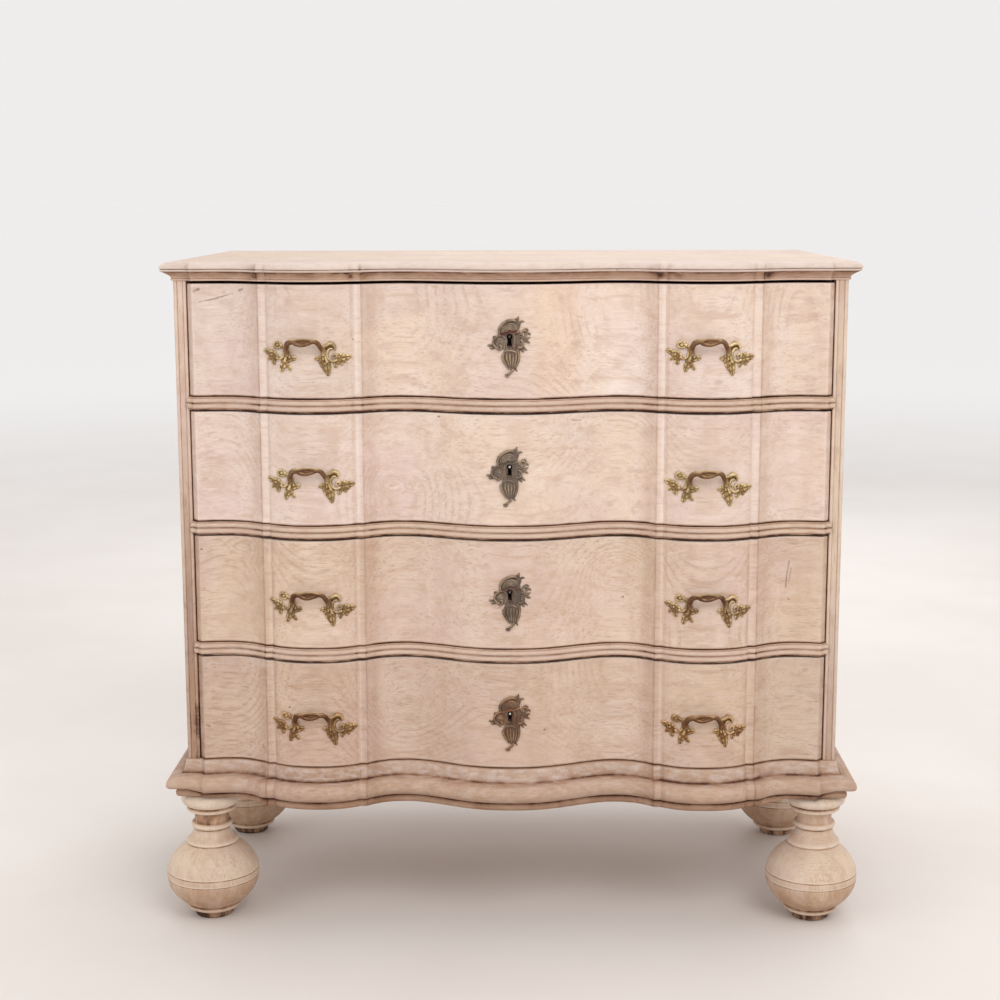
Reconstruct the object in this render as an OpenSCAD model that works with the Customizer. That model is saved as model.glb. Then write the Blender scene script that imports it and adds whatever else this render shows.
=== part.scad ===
// Serpentine commode: a four-drawer chest with a bowed and hollowed front,
// thumb-moulded top, cove, beaded drawer rails, bold base moulding and
// turned ball feet. Millimetres, +Z up, front faces -Y, the floor is Z = 0.

/* [Case] */
// Width across the outer faces of the stiles
case_w = 1063; // [1020:1:1110]
// Depth from the front face of the stiles to the back of the side panels
case_d = 575; // [520:1:620]
// Height of the underside of the top board
case_z1 = 1075.5; // [1070:0.5:1090]
// Thickness of the side panels
panel_t = 22; // [18:1:26]
// Width of a stile, seen from the front
stile_w = 20; // [18:0.5:24]
// Depth of a stile, front to back
stile_d = 45; // [40:1:55]
// Thickness of the boards of the back
back_t = 12; // [9:1:15]

/* [Serpentine front] */
// How far the middle bow stands in front of the stiles
bow = 51; // [44:1:56]
// How far the hollows beside the bow stay in front of the stiles
dip = 5.6; // [4:0.2:9]
// Sagitta of the small bows that carry the pulls
small_bow = 19; // [15:1:22]
// Thickness of a drawer front, measured front to back
front_t = 28; // [26:1:32]

/* [Top] */
// Overhang of the top board past the stiles
top_over = 18.5; // [14:0.5:22]
// Thickness of the top board
top_t = 15.5; // [14:0.5:18]

/* [Drawers] */
// Height of the bottom of the lowest drawer opening
base_z = 279; // [275:1:285]
// Height of the opening of drawer 4, the lowest
open_4 = 176.5; // [170:0.5:180]
// Height of the opening of drawer 3
open_3 = 178.5; // [170:0.5:182]
// Height of the opening of drawer 2
open_2 = 180.5; // [170:0.5:184]
// Height of the opening of drawer 1, the highest
open_1 = 183.5; // [176:0.5:188]
// Thickness of the drawer rails
rail_t = 21; // [19:0.5:24]
// Play between a drawer front and a stile
side_gap = 1.8; // [1.2:0.1:2.5]
// Thickness of the drawer sides and back
box_t = 12; // [10:1:14]
// Thickness of the drawer bottoms
bottom_t = 8; // [6:1:10]

/* [Base and feet] */
// Overhang of the base moulding past the stiles
base_over = 31.75; // [28:0.25:36]
// Height of the underside of the base moulding, which is the top of the feet
foot_h = 213; // [205:1:220]
// Greatest radius of the ball of a foot
ball_r = 76.5; // [70:0.5:80]
// Distance of the foot centres inside the outer faces of the stiles
foot_in = 30.8; // [28:0.1:36]
// Distance between front and rear foot centres
foot_pitch = 406.9; // [380:0.1:440]

/* [Fittings] */
// Distance of the pull centres from the middle of the case
pull_x = 315; // [305:1:325]
// Height of the pull studs above the bottom of the drawer opening
pull_up = 63.5; // [55:0.5:75]
// Half the distance between the two studs of a pull
pull_half = 31.8; // [30:0.1:34]
// Radius of the cast bar of a pull
pull_bar = 3.9; // [2.8:0.1:4.2]
// Travel of a lock bolt
bolt_travel = 11; // [9:0.5:12]

/* [Hidden] */

$fn = 48;
oak = [0.80, 0.67, 0.56];
oak_edge = [0.74, 0.60, 0.49];
oak_foot = [0.82, 0.70, 0.60];
inner_wood = [0.72, 0.56, 0.42];
brass_c = [0.55, 0.45, 0.25];
bronze_c = [0.40, 0.35, 0.28];
iron_c = [0.30, 0.29, 0.28];

hc = case_w/2;                 // half width over the stiles
k = hc/531.5;                  // sideways scale of the serpentine
// stile face: puts the origin midway between the base moulding's bow and
// the back edge of the top
yf = -(case_d + 6 - bow - base_over)/2;
yb = yf + case_d;              // back of the side panels
xi = hc - stile_w;             // inner edge of a stile
xp = hc - panel_t;             // inner face of a side panel
top_back = yb + 6;             // back edge of the top board
z4 = base_z;
z3 = z4 + open_4 + rail_t;
z2 = z3 + open_3 + rail_t;
z1 = z2 + open_2 + rail_t;
zt = z1 + open_1;              // underside of the cove
// index 0 is the highest drawer
z_bot = [z1, z2, z3, z4];
z_open = [open_1, open_2, open_3, open_4];
top_play = [4.5, 2.5, 2.5, 2.5];      // play above each drawer front
key_up = [99, 96, 94.5, 92];          // keyhole above the opening's bottom
function z_front(i) = z_bot[i] + z_open[i] - top_play[i];
function z_key(i) = z_bot[i] + key_up[i];
in_t = 22;                     // flats of a drawer front, thickness
x_dr = xi - side_gap;          // end of a drawer front
x_side = xp - 11.5;            // outer face of a drawer side
floor_z = 261;                 // top of the bottom board
block_z = 241;                 // top of the foot blocks
rail_back = yf + 70;

// ---- plan of the serpentine ------------------------------------------
// Distance of the front behind the stile face (negative is in front).
// From the middle outwards: bow, hollow, flat fillet, small bow, flat
// fillet, wide hollow rising to an arris, and a chamfer back to the stile.
a_end = xi/k;
function sy(x) = let (a = abs(x)/k)
  a < 170 ? -bow + (bow - dip)*(1 - cos(180*pow(a/170, 1.25)))/2 :
  a < 232.4 ? -dip - 24.4*pow((a - 170)/62.4, 2.3) :
  a < 244 ? -31 :
  a < 381 ? -32 - (small_bow - 0.5)*(1 - pow(min(abs(a - 312.5)/68.5, 1), 2.4)) :
  a < 394 ? -29 :
  a < 455 ? -2 - 25.5*pow((455 - a)/61, 1.9) :
  a < a_end - 10.4 ? -2 - 6*pow((a - 455)/(a_end - 465.5), 1.8) :
  a < a_end - 2.5 ? a - a_end + 2.5 : 0;

half = concat([for (i = [0:15]) i*170/16], [for (i = [0:8]) 170 + i*62/8],
  [232.9, 243.5], [for (i = [0:12]) 244.5 + i*136/12], [381.5, 393.4],
  [for (i = [0:8]) 394.5 + i*60.5/8], [for (i = [1:4]) 455 + i*(a_end - 465.5)/4],
  [a_end - 2.5]);
nh = len(half);
xs = concat([for (i = [nh-1:-1:1]) -half[i]*k], [for (i = [0:nh-1]) half[i]*k]);
x_arris = (a_end - 10)*k;
xs_dr = [for (x = xs) if (abs(x) < x_arris) x];   // stations on a drawer front
xs_back = [for (i = [len(xs_dr)-1:-1:0]) xs_dr[i]];
xs_in = [for (x = xs) if (abs(x) < 470*k) x];     // stations of a drawer bottom

// front line of a moulding that stands off by o and ends at x = e
function front_line(o, e) = concat([[-e, yf - o]],
  [for (x = xs) [x, yf + sy(x) - o]], [[e, yf - o]]);
function inner_y(x) = yf + (abs(x) > 450*k ? in_t : min(in_t, sy(x) + front_t));

// Plate between the offset front and a straight back edge. Past the
// stiles' inner edges it stops at the stile face, and mitres at 45 degrees
// at the corners. nx is where the back part narrows.
module lipped(o, back, nx, z, h)
  translate([0, 0, z]) linear_extrude(h) polygon(concat(
    front_line(o, hc + o),
    [[hc, yf], [nx, yf], [nx, back], [-nx, back], [-nx, yf], [-hc, yf]]));

// ---- case ------------------------------------------------------------
module top_layer(o, z, h)
  translate([0, 0, z]) linear_extrude(h) polygon(concat(
    front_line(o, hc + o), [[hc + o, top_back], [-hc - o, top_back]]));

module top_board() color(oak) {
  t = top_t/15.5;
  union() {
    top_layer(top_over - 2.5, case_z1, 2*t);
    top_layer(top_over - 0.8, case_z1 + 2*t, 2*t);
    top_layer(top_over, case_z1 + 4*t, 4*t);
    top_layer(top_over - 1.2, case_z1 + 8*t, 2.5*t);
    top_layer(top_over - 4, case_z1 + 10.5*t, 2.5*t);
    top_layer(top_over - 8, case_z1 + 13*t, 1.5*t);
    top_layer(top_over - 12.5, case_z1 + 14.5*t, 1*t);
  }
}

cove_n = 5;
function cove_o(f) = 1.5 + 13.5*(1 - cos(90*f));   // 0 at the bottom, 1 at the top
module top_rail_cove() color(oak_edge) difference() {
  h = (case_z1 - zt)/cove_n;
  union() for (i = [0:cove_n-1])
    lipped(cove_o((i + 0.6)/cove_n), rail_back, min(xi, xp), zt + i*h, h);
  lock_mortise(0);
}

// profile of the side cove, swept straight back
module top_moulding_sides() color(oak_edge) for (s = [-1, 1])
  difference() {
    mirror([s < 0 ? 1 : 0, 0, 0]) translate([hc, yb, 0]) rotate([90, 0, 0])
        linear_extrude(case_d + top_over + 4)
          polygon(concat([[0, zt]],
            [for (i = [0:8]) [cove_o(i/8), zt + (case_z1 - zt)*i/8]],
            [[0, case_z1]]));
    mitre_cut(s);
  }

// removes everything in front of the 45 degree mitre at a corner
module mitre_cut(s) mirror([s < 0 ? 1 : 0, 0, 0])
  translate([0, 0, 100]) linear_extrude(1100)
    polygon([[hc - 1, yf + 1], [hc + 80, yf - 80], [hc + 80, yf - 160], [hc - 1, yf - 160]]);

module side_panel(s) mirror([s < 0 ? 1 : 0, 0, 0])
  translate([xp, yf + stile_d, block_z]) union() {
    cube([panel_t, case_d - stile_d, case_z1 - block_z]);
    // tongue that enters the stile
    translate([7, -8, 20]) cube([8, 8.1, case_z1 - block_z - 40]);
  }
module side_panel_left() color(oak) side_panel(-1);
module side_panel_right() color(oak) side_panel(1);

module stile(s) mirror([s < 0 ? 1 : 0, 0, 0]) difference() {
  translate([0, 0, block_z]) linear_extrude(case_z1 - block_z)
    // outer bead and quirks run as shallow grooves up the face
    polygon([[xi, yf + 1.5], [xi + 1.5, yf], [xi + 4.5, yf], [xi + 5, yf + 1.5],
      [xi + 6, yf + 1.5], [xi + 6.5, yf], [hc - 9, yf], [hc - 8.5, yf + 2],
      [hc - 7, yf + 2], [hc - 6.5, yf], [hc - 1.5, yf], [hc, yf + 1.5],
      [hc, yf + stile_d], [xi, yf + stile_d]]);
  // groove for the tongue of the side panel
  translate([xp + 6.8, yf + stile_d - 8.5, block_z + 19.5])
    cube([8.4, 9, case_z1 - block_z - 39]);
  // mortises for the stub tenons of the three rails
  for (z = [z1, z2, z3]) translate([xi - 1, yf + 13.8, z - rail_t + 3.8])
    cube([13.2, 20.4, rail_t - 7.6]);
}
module stile_left() color(oak_edge) stile(-1);
module stile_right() color(oak_edge) stile(1);

// Mortise that receives the lock bolt of the drawer below
module lock_mortise(i) translate([-10.8, yf - bow + front_t - 0.7 + 1, z_bot[i] + z_open[i] - 1])
  cube([21.6, 7.6, bolt_travel]);

// A rail has two beads with a groove between them on its serpentine face
module rail_layer(o, z, h)
  translate([0, 0, z]) linear_extrude(h) polygon(concat(
    front_line(o, xi), [[xi, yf + stile_d], [xp, yf + stile_d], [xp, rail_back],
      [-xp, rail_back], [-xp, yf + stile_d], [-xi, yf + stile_d]]));
module rail(j) difference() {
  z = z_bot[j] - rail_t;
  union() {
    rail_layer(2, z, 2);
    rail_layer(4.4, z + 2, rail_t/2 - 2.2);
    rail_layer(1.5, z + rail_t/2 - 0.2, 1.8);
    rail_layer(4.4, z + rail_t/2 + 1.6, rail_t/2 - 4);
    rail_layer(2, z + rail_t - 2.4, 2.4);
    for (s = [-1, 1]) translate([s > 0 ? xi - 0.1 : -xi - 12, yf + 14, z + 4])
      cube([12.1, 20, rail_t - 8]);
  }
  lock_mortise(j + 1);
}
module rail_upper() color(oak_edge) rail(0);
module rail_middle() color(oak_edge) rail(1);
module rail_lower() color(oak_edge) rail(2);

module bottom_board() color(inner_wood) difference() {
  translate([-xp, yf + 24, block_z]) cube([2*xp, yb - 2 - back_t - (yf + 24), floor_z - block_z]);
  for (s = [-1, 1]) mirror([s < 0 ? 1 : 0, 0, 0]) translate([xi, yf, block_z - 1])
    cube([30, stile_d, floor_z - block_z + 2]);
}

// four upright boards with shadow gaps, standing between the side panels
module back_boards() color(inner_wood) {
  w = 2*xp/4;
  for (i = [0:3]) translate([-xp + i*w + (i == 0 ? 0 : 0.5), yb - 2 - back_t, block_z])
    cube([w - (i == 0 || i == 3 ? 0.5 : 1), back_t, case_z1 - block_z]);
}

// L-shaped runners: the drawer side slides on the tread, the upstand guides it
module drawer_runners() color(inner_wood)
  for (z = z_bot, s = [-1, 1]) mirror([s < 0 ? 1 : 0, 0, 0])
    translate([0, yb - 2 - back_t, 0]) rotate([90, 0, 0])
      linear_extrude(yb - 2 - back_t - rail_back)
        polygon([[xp - 30, z - 18], [xp, z - 18], [xp, z + 20],
          [x_side + 1, z + 20], [x_side + 1, z], [xp - 30, z]]);

// ---- base ------------------------------------------------------------
// section of the base moulding, from its underside up: [overhang, height]
base_sec = [[12, 0], [15, 1.5], [17.5, 5], [18.5, 9], [17, 13], [20, 15],
  [25, 17], [29, 20.5], [31.2, 25], [31.75, 29], [31, 33.5], [28.5, 37.5],
  [24, 41], [18, 43], [11, 44], [7, 44.5], [6, 46], [4, 52], [3, 60],
  [2.5, 64], [1, 66]];
function sec_z(p) = foot_h + p[1]*(base_z - foot_h)/66;
function sec_o(p) = p[0]*base_over/31.75;

module base_moulding_front() color(oak) union()
  for (l = [[14.5, 0, 4], [18, 4, 12.5], [17.5, 12.5, 15], [26, 15, 19],
      [30.5, 19, 23.5], [31.75, 23.5, 28], [31.75, 28, 34], [29, 34, 38.5], [22, 38.5, 42.5],
      [10, 42.5, 44.5], [6, 44.5, 50], [3.5, 50, 62], [2, 62, 66]])
    let (za = sec_z([0, l[1]]), zb = sec_z([0, l[2]]))
      lipped(sec_o(l), yf + 24, zb <= block_z + 1 ? 425*k : xi, za, zb - za);

module base_moulding_sides() color(oak) for (s = [-1, 1]) difference() {
  mirror([s < 0 ? 1 : 0, 0, 0]) translate([hc, yb, 0]) rotate([90, 0, 0])
    linear_extrude(case_d + base_over + 5)
      polygon(concat([[0, foot_h]], [for (p = base_sec) [sec_o(p), sec_z(p)]],
        [[0, base_z]]));
  mitre_cut(s);
}

foot_x = hc - foot_in;
foot_y = [yf + foot_in, yf + foot_in + foot_pitch];
// square blocks that take the foot tenons, under the bottom board
module foot_blocks() color(inner_wood) for (s = [-1, 1], r = [0, 1])
  mirror([s < 0 ? 1 : 0, 0, 0]) difference() {
    translate([425*k, r == 0 ? yf : foot_y[1] - 60, foot_h])
      cube([hc - 425*k, r == 0 ? 119 : 120, block_z - foot_h]);
    translate([foot_x, foot_y[r], foot_h - 1]) cylinder(r = 18.2, h = 60);
  }

// Turned foot: tenon, top torus, fillet, neck, ring, flare, ball, lip, pad
zc_ball = 73;
function ell(r, h, a) = [r*cos(a), zc_ball + h*sin(a)];
foot_profile = concat(
  [[0, 0], [30.2, 0], [31.4, 2], [31.4, 8.6], [34.8, 11], [41.8, 14], [44.2, 16.4],
   [44.2, 18.6], [41.4, 20.8], [42.2, 21.6]],
  [for (i = [0:6]) ell(ball_r, 61.4, -56 + i*8.3)],
  [[ball_r - 0.3, 67.6], [ball_r - 1.4, 68.3], [ball_r - 0.1, 69.4],
   [ball_r, 73], [ball_r - 0.1, 79.4], [ball_r - 1.4, 80.6], [ball_r - 0.6, 81.8]],
  [for (i = [0:5]) ell(ball_r, 63, 10 + i*9.4)],
  [[40.8, 126.8], [42.6, 128], [43.4, 129.8], [42.6, 131.6], [39.2, 134.4], [35, 138.6],
   [32, 143.4], [30.8, 148], [30.4, 151], [29.2, 152.4], [31.4, 153.2], [33.8, 155.4],
   [34.2, 157.8], [33.8, 160.4], [31.6, 162.6], [28.8, 163.6], [28.2, 168.5], [28.4, 175],
   [29.8, 179.4], [33.4, 181.6], [38.8, 183.2], [41.2, 185.6], [40.8, 188.6], [38.8, 190.8]],
  [for (i = [0:8]) [37 + 13*cos(-74 + i*19), 202.2 + 10.3*sin(-74 + i*19)]],
  [[38, foot_h], [18, foot_h], [18, foot_h + 26], [16.5, foot_h + 27.5], [0, foot_h + 27.5]]);

module foot(s, r) translate([s*foot_x, foot_y[r], 0]) rotate_extrude($fn = 72) polygon(foot_profile);
module foot_front_left() color(oak_foot) foot(-1, 0);
module foot_front_right() color(oak_foot) foot(1, 0);
module foot_rear_left() color(oak_foot) foot(-1, 1);
module foot_rear_right() color(oak_foot) foot(1, 1);

// ---- drawers ---------------------------------------------------------
side_low = 0.4;                          // play of the sides over the runners
function side_z0(i) = z_bot[i] + side_low;
function side_z1(i) = z_bot[i] + z_open[i] - 17;
groove_z = 9.6;                          // bottom board above the opening's bottom
back_y = yb - 2 - back_t - 27;           // front face of a drawer back
n_tail = 4;

// tails of one corner, in the YZ plane: narrow at the root, wide at the end
module tails(i, e) {
  p = (side_z1(i) - side_z0(i))/n_tail;
  for (t = [0:n_tail-1]) let (c = side_z0(i) + (t + 0.5)*p)
    polygon([[yf + in_t + e, c - 0.29*p], [yf + in_t + e, c + 0.29*p],
      [yf + in_t, c + 0.29*p], [yf + 10, c + 0.38*p],
      [yf + 10, c - 0.38*p], [yf + in_t, c - 0.29*p]]);
}
// extrudes a YZ outline from x = a to x = b
module along_x(a, b) translate([a, 0, 0]) rotate([90, 0, 90]) linear_extrude(b - a) children();

module drawer_side(i) difference() {
  along_x(x_side - box_t, x_side) union() {
    tails(i, 1);
    polygon([[yf + in_t, side_z0(i)], [yb - 2 - back_t - 1, side_z0(i)],
      [yb - 2 - back_t - 1, side_z1(i)], [yf + in_t, side_z1(i)]]);
  }
  // groove for the bottom and dado for the back
  translate([x_side - box_t - 1, yf, z_bot[i] + groove_z]) cube([7, case_d, bottom_t]);
  translate([x_side - box_t - 1, back_y, z_bot[i] + groove_z]) cube([7, box_t, 400]);
}
module drawer_sides(i) color(inner_wood) for (s = [-1, 1])
  mirror([s < 0 ? 1 : 0, 0, 0]) drawer_side(i);

module drawer_back(i) color(inner_wood)
  translate([-x_side + box_t - 6, back_y, z_bot[i] + groove_z + bottom_t])
    cube([2*(x_side - box_t + 6), box_t, side_z1(i) - 8 - z_bot[i] - groove_z - bottom_t]);

module drawer_bottom(i) color(inner_wood)
  translate([0, 0, z_bot[i] + groove_z]) linear_extrude(bottom_t)
    polygon(concat([[-x_side + box_t - 6, yf + in_t - 8]],
      [for (x = xs_in) [x, inner_y(x) - 8]],
      [[x_side - box_t + 6, yf + in_t - 8], [x_side - box_t + 6, back_y + 15],
       [-x_side + box_t - 6, back_y + 15]]));

lock_y = yf - bow + front_t - 2.5;      // bottom of the pocket for the lock

module keyhole(i, y0, y1) translate([0, y1, z_key(i)]) rotate([90, 0, 0])
  linear_extrude(y1 - y0) union() {
    circle(r = 4.6);
    translate([-2.5, -12.5]) square([5, 12.5]);
  }

module drawer_front(i) color(oak) {
  z0 = z_bot[i] + 1.2;
  h = z_front(i) - z0;
  difference() {
    translate([0, 0, z0]) linear_extrude(h) polygon(concat(
      [[-x_dr, yf + 1]], [for (x = xs_dr) [x, yf + sy(x)]],
      [[x_dr, yf + 1], [x_dr, yf + in_t]],
      [for (x = xs_back) [x, inner_y(x)]], [[-x_dr, yf + in_t]]));
    // sockets of the half-blind dovetails
    for (s = [-1, 1]) mirror([s < 0 ? 1 : 0, 0, 0])
      along_x(x_side - box_t, x_side + 0.2) tails(i, 1);
    // groove for the bottom
    translate([0, 0, z_bot[i] + groove_z]) linear_extrude(bottom_t)
      polygon(concat([[-x_side + box_t - 6, yf + in_t - 8]],
        [for (x = xs_in) [x, inner_y(x) - 8]],
        [[x_side - box_t + 6, yf + in_t - 8], [x_side - box_t + 6, yf + in_t + 1],
         [-x_side + box_t - 6, yf + in_t + 1]]));
    // pocket for the lock and recess for its top plate
    translate([-40.2, lock_y, z_key(i) - 30.2]) cube([80.4, 40, 200]);
    translate([-46.2, lock_y - 3.7, z_front(i) - 3]) cube([92.4, 40, 20]);
    keyhole(i, yf - 80, yf);
    // holes and spot faces for the pull studs
    for (s = [-1, 1], t = [-1, 1]) let (x = s*pull_x + t*pull_half)
      translate([x, 0, z_bot[i] + pull_up]) {
        translate([0, yf, 0]) rotate([90, 0, 0]) cylinder(r = 2.8, h = 80);
        translate([0, yf + 30, 0]) rotate([90, 0, 0])
          cylinder(r = 9, h = 30 + yf - nut_y(x));
      }
  }
}

// ---- lock ------------------------------------------------------------
module drawer_lock(i) color(iron_c) difference() {
  zk = z_key(i);
  union() {
    difference() {
      union() {
        translate([-40, lock_y, zk - 30]) cube([80, 12, z_front(i) - zk + 30]);
        translate([-46, lock_y - 3.5, z_front(i) - 3]) cube([92, 15.5, 3]);
      }
      // room for the key's bit, open to the bolt
      translate([0, lock_y + 9.1, zk]) rotate([90, 0, 0]) cylinder(r = 15, h = 6.2);
    }
    // pin on which the barrel of the key turns
    translate([0, lock_y + 10, zk]) rotate([90, 0, 0])
      cylinder(r = 1.8, h = lock_y + 10 - (yf - bow - 0.5));
  }
  // channel of the bolt
  translate([-10.1, lock_y + 2.9, zk + 12]) cube([20.2, 6.2, 200]);
  // keyhole in the front plate, around the pin
  difference() {
    keyhole(i, lock_y - 1, lock_y + 5);
    translate([0, lock_y + 10, zk]) rotate([90, 0, 0]) cylinder(r = 1.8, h = 20);
  }
}

module drawer_lock_bolt(i) color(iron_c) difference() {
  translate([-10, lock_y + 3, z_key(i) + 14])
    cube([20, 6, z_front(i) - 0.5 - z_key(i) - 14]);
  // notch in which the key's bit works
  translate([-4, lock_y + 2, z_key(i) + 13]) cube([8, 8, 6]);
}

// ---- pulls and escutcheons -------------------------------------------
// thin skin that lies on the serpentine front, from a to b mm proud of it
module skin(x0, x1, z0, z1s, a, b) {
  px = concat([x0], [for (x = xs) if (x > x0 + 0.2 && x < x1 - 0.2) x], [x1]);
  n = len(px) - 1;
  translate([0, 0, z0]) linear_extrude(z1s - z0) polygon(concat(
    [for (i = [0:n]) [px[i], yf + sy(px[i]) - b]],
    [for (i = [n:-1:0]) [px[i], yf + sy(px[i]) - a]]));
}
// extrudes an XZ outline forwards through the front
module through_y() translate([0, yf + 10, 0]) rotate([90, 0, 0]) linear_extrude(90) children();

leaf_left = [[-28, 5], [-17, -1], [-24, -6], [-30, -7], [-31, -18], [-37, -14],
  [-43, -20], [-47, -15], [-46, -6], [-42, -3], [-50, 0], [-55, -8], [-60, -6],
  [-66, 2], [-68, 10], [-71, 15], [-68, 21], [-63, 16], [-55, 18], [-48, 10],
  [-47, 5], [-41, 5], [-38, 12], [-44, 15], [-52, 17], [-53, 24], [-47, 29],
  [-40, 25], [-36, 20], [-28, 20]];
leaf_right = [[28, 5], [28, 20], [36, 22], [42, 26], [48, 20], [47, 13], [40, 11],
  [36, 8], [36, 0], [42, -2], [45, 6], [52, 4], [54, 9], [62, 9], [72, 9],
  [66, 3], [60, -1], [61, -9], [55, -7], [52, -15], [47, -7], [40, -7],
  [38, -12], [37, -28], [31, -22], [24, -12], [23, -6], [14, -1], [18, 4]];

function nut_y(x) = yf + sy(x) + front_t - 3;     // seat of a pull nut

module pull(i, s) color(brass_c) {
  zc = z_bot[i] + pull_up;
  x0 = s*pull_x;
  union() {
    intersection() {
      through_y() translate([x0, zc]) { polygon(leaf_left); polygon(leaf_right); }
      skin(x0 - 73, x0 + 73, zc - 35, zc + 35, 0.1, 3.4);
    }
    // the arched bar, leaning forwards and up
    translate([x0, yf + sy(x0 + pull_half) - 4.5, zc]) rotate([-52, 0, 0]) mirror([0, 0, 1])
      rotate([0, 0, 180]) rotate_extrude(angle = 180, $fn = 72)
        translate([pull_half, 0]) circle(r = pull_bar, $fn = 32);
    for (t = [-1, 1]) let (x = x0 + t*pull_half) translate([x, 0, zc]) {
      translate([0, yf + sy(x) - 5.4, 0]) sphere(r = 5);
      // threaded stud through the drawer front
      translate([0, nut_y(x) + 8, 0]) rotate([90, 0, 0])
        cylinder(r = 2.5, h = nut_y(x) + 8 - (yf + sy(x) - 5));
    }
  }
}

module pull_nuts(i) color(brass_c) for (s = [-1, 1], t = [-1, 1])
  let (x = s*pull_x + t*pull_half)
    translate([x, nut_y(x) + 4.1, z_bot[i] + pull_up]) rotate([90, 0, 0]) difference() {
      translate([-5.5, -5.5, 0]) cube([11, 11, 4]);
      translate([0, 0, -1]) cylinder(r = 2.55, h = 6);
    }

cartouche = [[9, 33], [14, 27], [20, 27], [19, 23], [15, 18], [15, 14], [18, 11],
  [23, 13], [28, 9], [31, 2], [28, -2], [32, -7], [25, -9], [23, -14], [27, -20],
  [19, -21], [17, -30], [16, -40], [12, -45], [13, -49], [9, -54], [4, -59],
  [0, -63], [-4, -62], [-3, -58], [-1, -55], [-2, -48], [-7, -41], [-12, -33],
  [-10, -24], [-12, -18], [-17, -23], [-25, -21], [-28, -14], [-26, -5],
  [-23, 1], [-19, 3], [-17, 10], [-13, 18], [-7, 23], [-2, 26], [3, 24], [6, 28]];

module escutcheon(i) color(bronze_c) difference() {
  intersection() {
    through_y() translate([0, z_key(i)]) polygon(cartouche);
    skin(-40, 40, z_key(i) - 70, z_key(i) + 40, 0.1, 3.2);
  }
  keyhole(i, yf - 80, yf);
}

module drawer_1_front() drawer_front(0);
module drawer_1_sides() drawer_sides(0);
module drawer_1_back() drawer_back(0);
module drawer_1_bottom() drawer_bottom(0);
module drawer_1_pull_left() pull(0, -1);
module drawer_1_pull_right() pull(0, 1);
module drawer_1_pull_nuts() pull_nuts(0);
module drawer_1_escutcheon() escutcheon(0);
module drawer_1_lock() drawer_lock(0);
module drawer_1_lock_bolt() drawer_lock_bolt(0);
module drawer_2_front() drawer_front(1);
module drawer_2_sides() drawer_sides(1);
module drawer_2_back() drawer_back(1);
module drawer_2_bottom() drawer_bottom(1);
module drawer_2_pull_left() pull(1, -1);
module drawer_2_pull_right() pull(1, 1);
module drawer_2_pull_nuts() pull_nuts(1);
module drawer_2_escutcheon() escutcheon(1);
module drawer_2_lock() drawer_lock(1);
module drawer_2_lock_bolt() drawer_lock_bolt(1);
module drawer_3_front() drawer_front(2);
module drawer_3_sides() drawer_sides(2);
module drawer_3_back() drawer_back(2);
module drawer_3_bottom() drawer_bottom(2);
module drawer_3_pull_left() pull(2, -1);
module drawer_3_pull_right() pull(2, 1);
module drawer_3_pull_nuts() pull_nuts(2);
module drawer_3_escutcheon() escutcheon(2);
module drawer_3_lock() drawer_lock(2);
module drawer_3_lock_bolt() drawer_lock_bolt(2);
module drawer_4_front() drawer_front(3);
module drawer_4_sides() drawer_sides(3);
module drawer_4_back() drawer_back(3);
module drawer_4_bottom() drawer_bottom(3);
module drawer_4_pull_left() pull(3, -1);
module drawer_4_pull_right() pull(3, 1);
module drawer_4_pull_nuts() pull_nuts(3);
module drawer_4_escutcheon() escutcheon(3);
module drawer_4_lock() drawer_lock(3);
module drawer_4_lock_bolt() drawer_lock_bolt(3);

top_board();
top_rail_cove();
top_moulding_sides();
side_panel_left();
side_panel_right();
stile_left();
stile_right();
rail_upper();
rail_middle();
rail_lower();
bottom_board();
back_boards();
drawer_runners();
base_moulding_front();
base_moulding_sides();
foot_blocks();
foot_front_left();
foot_front_right();
foot_rear_left();
foot_rear_right();
drawer_1_front();
drawer_1_sides();
drawer_1_back();
drawer_1_bottom();
drawer_1_pull_left();
drawer_1_pull_right();
drawer_1_pull_nuts();
drawer_1_escutcheon();
drawer_1_lock();
drawer_1_lock_bolt();
drawer_2_front();
drawer_2_sides();
drawer_2_back();
drawer_2_bottom();
drawer_2_pull_left();
drawer_2_pull_right();
drawer_2_pull_nuts();
drawer_2_escutcheon();
drawer_2_lock();
drawer_2_lock_bolt();
drawer_3_front();
drawer_3_sides();
drawer_3_back();
drawer_3_bottom();
drawer_3_pull_left();
drawer_3_pull_right();
drawer_3_pull_nuts();
drawer_3_escutcheon();
drawer_3_lock();
drawer_3_lock_bolt();
drawer_4_front();
drawer_4_sides();
drawer_4_back();
drawer_4_bottom();
drawer_4_pull_left();
drawer_4_pull_right();
drawer_4_pull_nuts();
drawer_4_escutcheon();
drawer_4_lock();
drawer_4_lock_bolt();
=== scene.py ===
import bpy, bmesh, math
import numpy as np
from mathutils import Matrix, Vector


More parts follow.
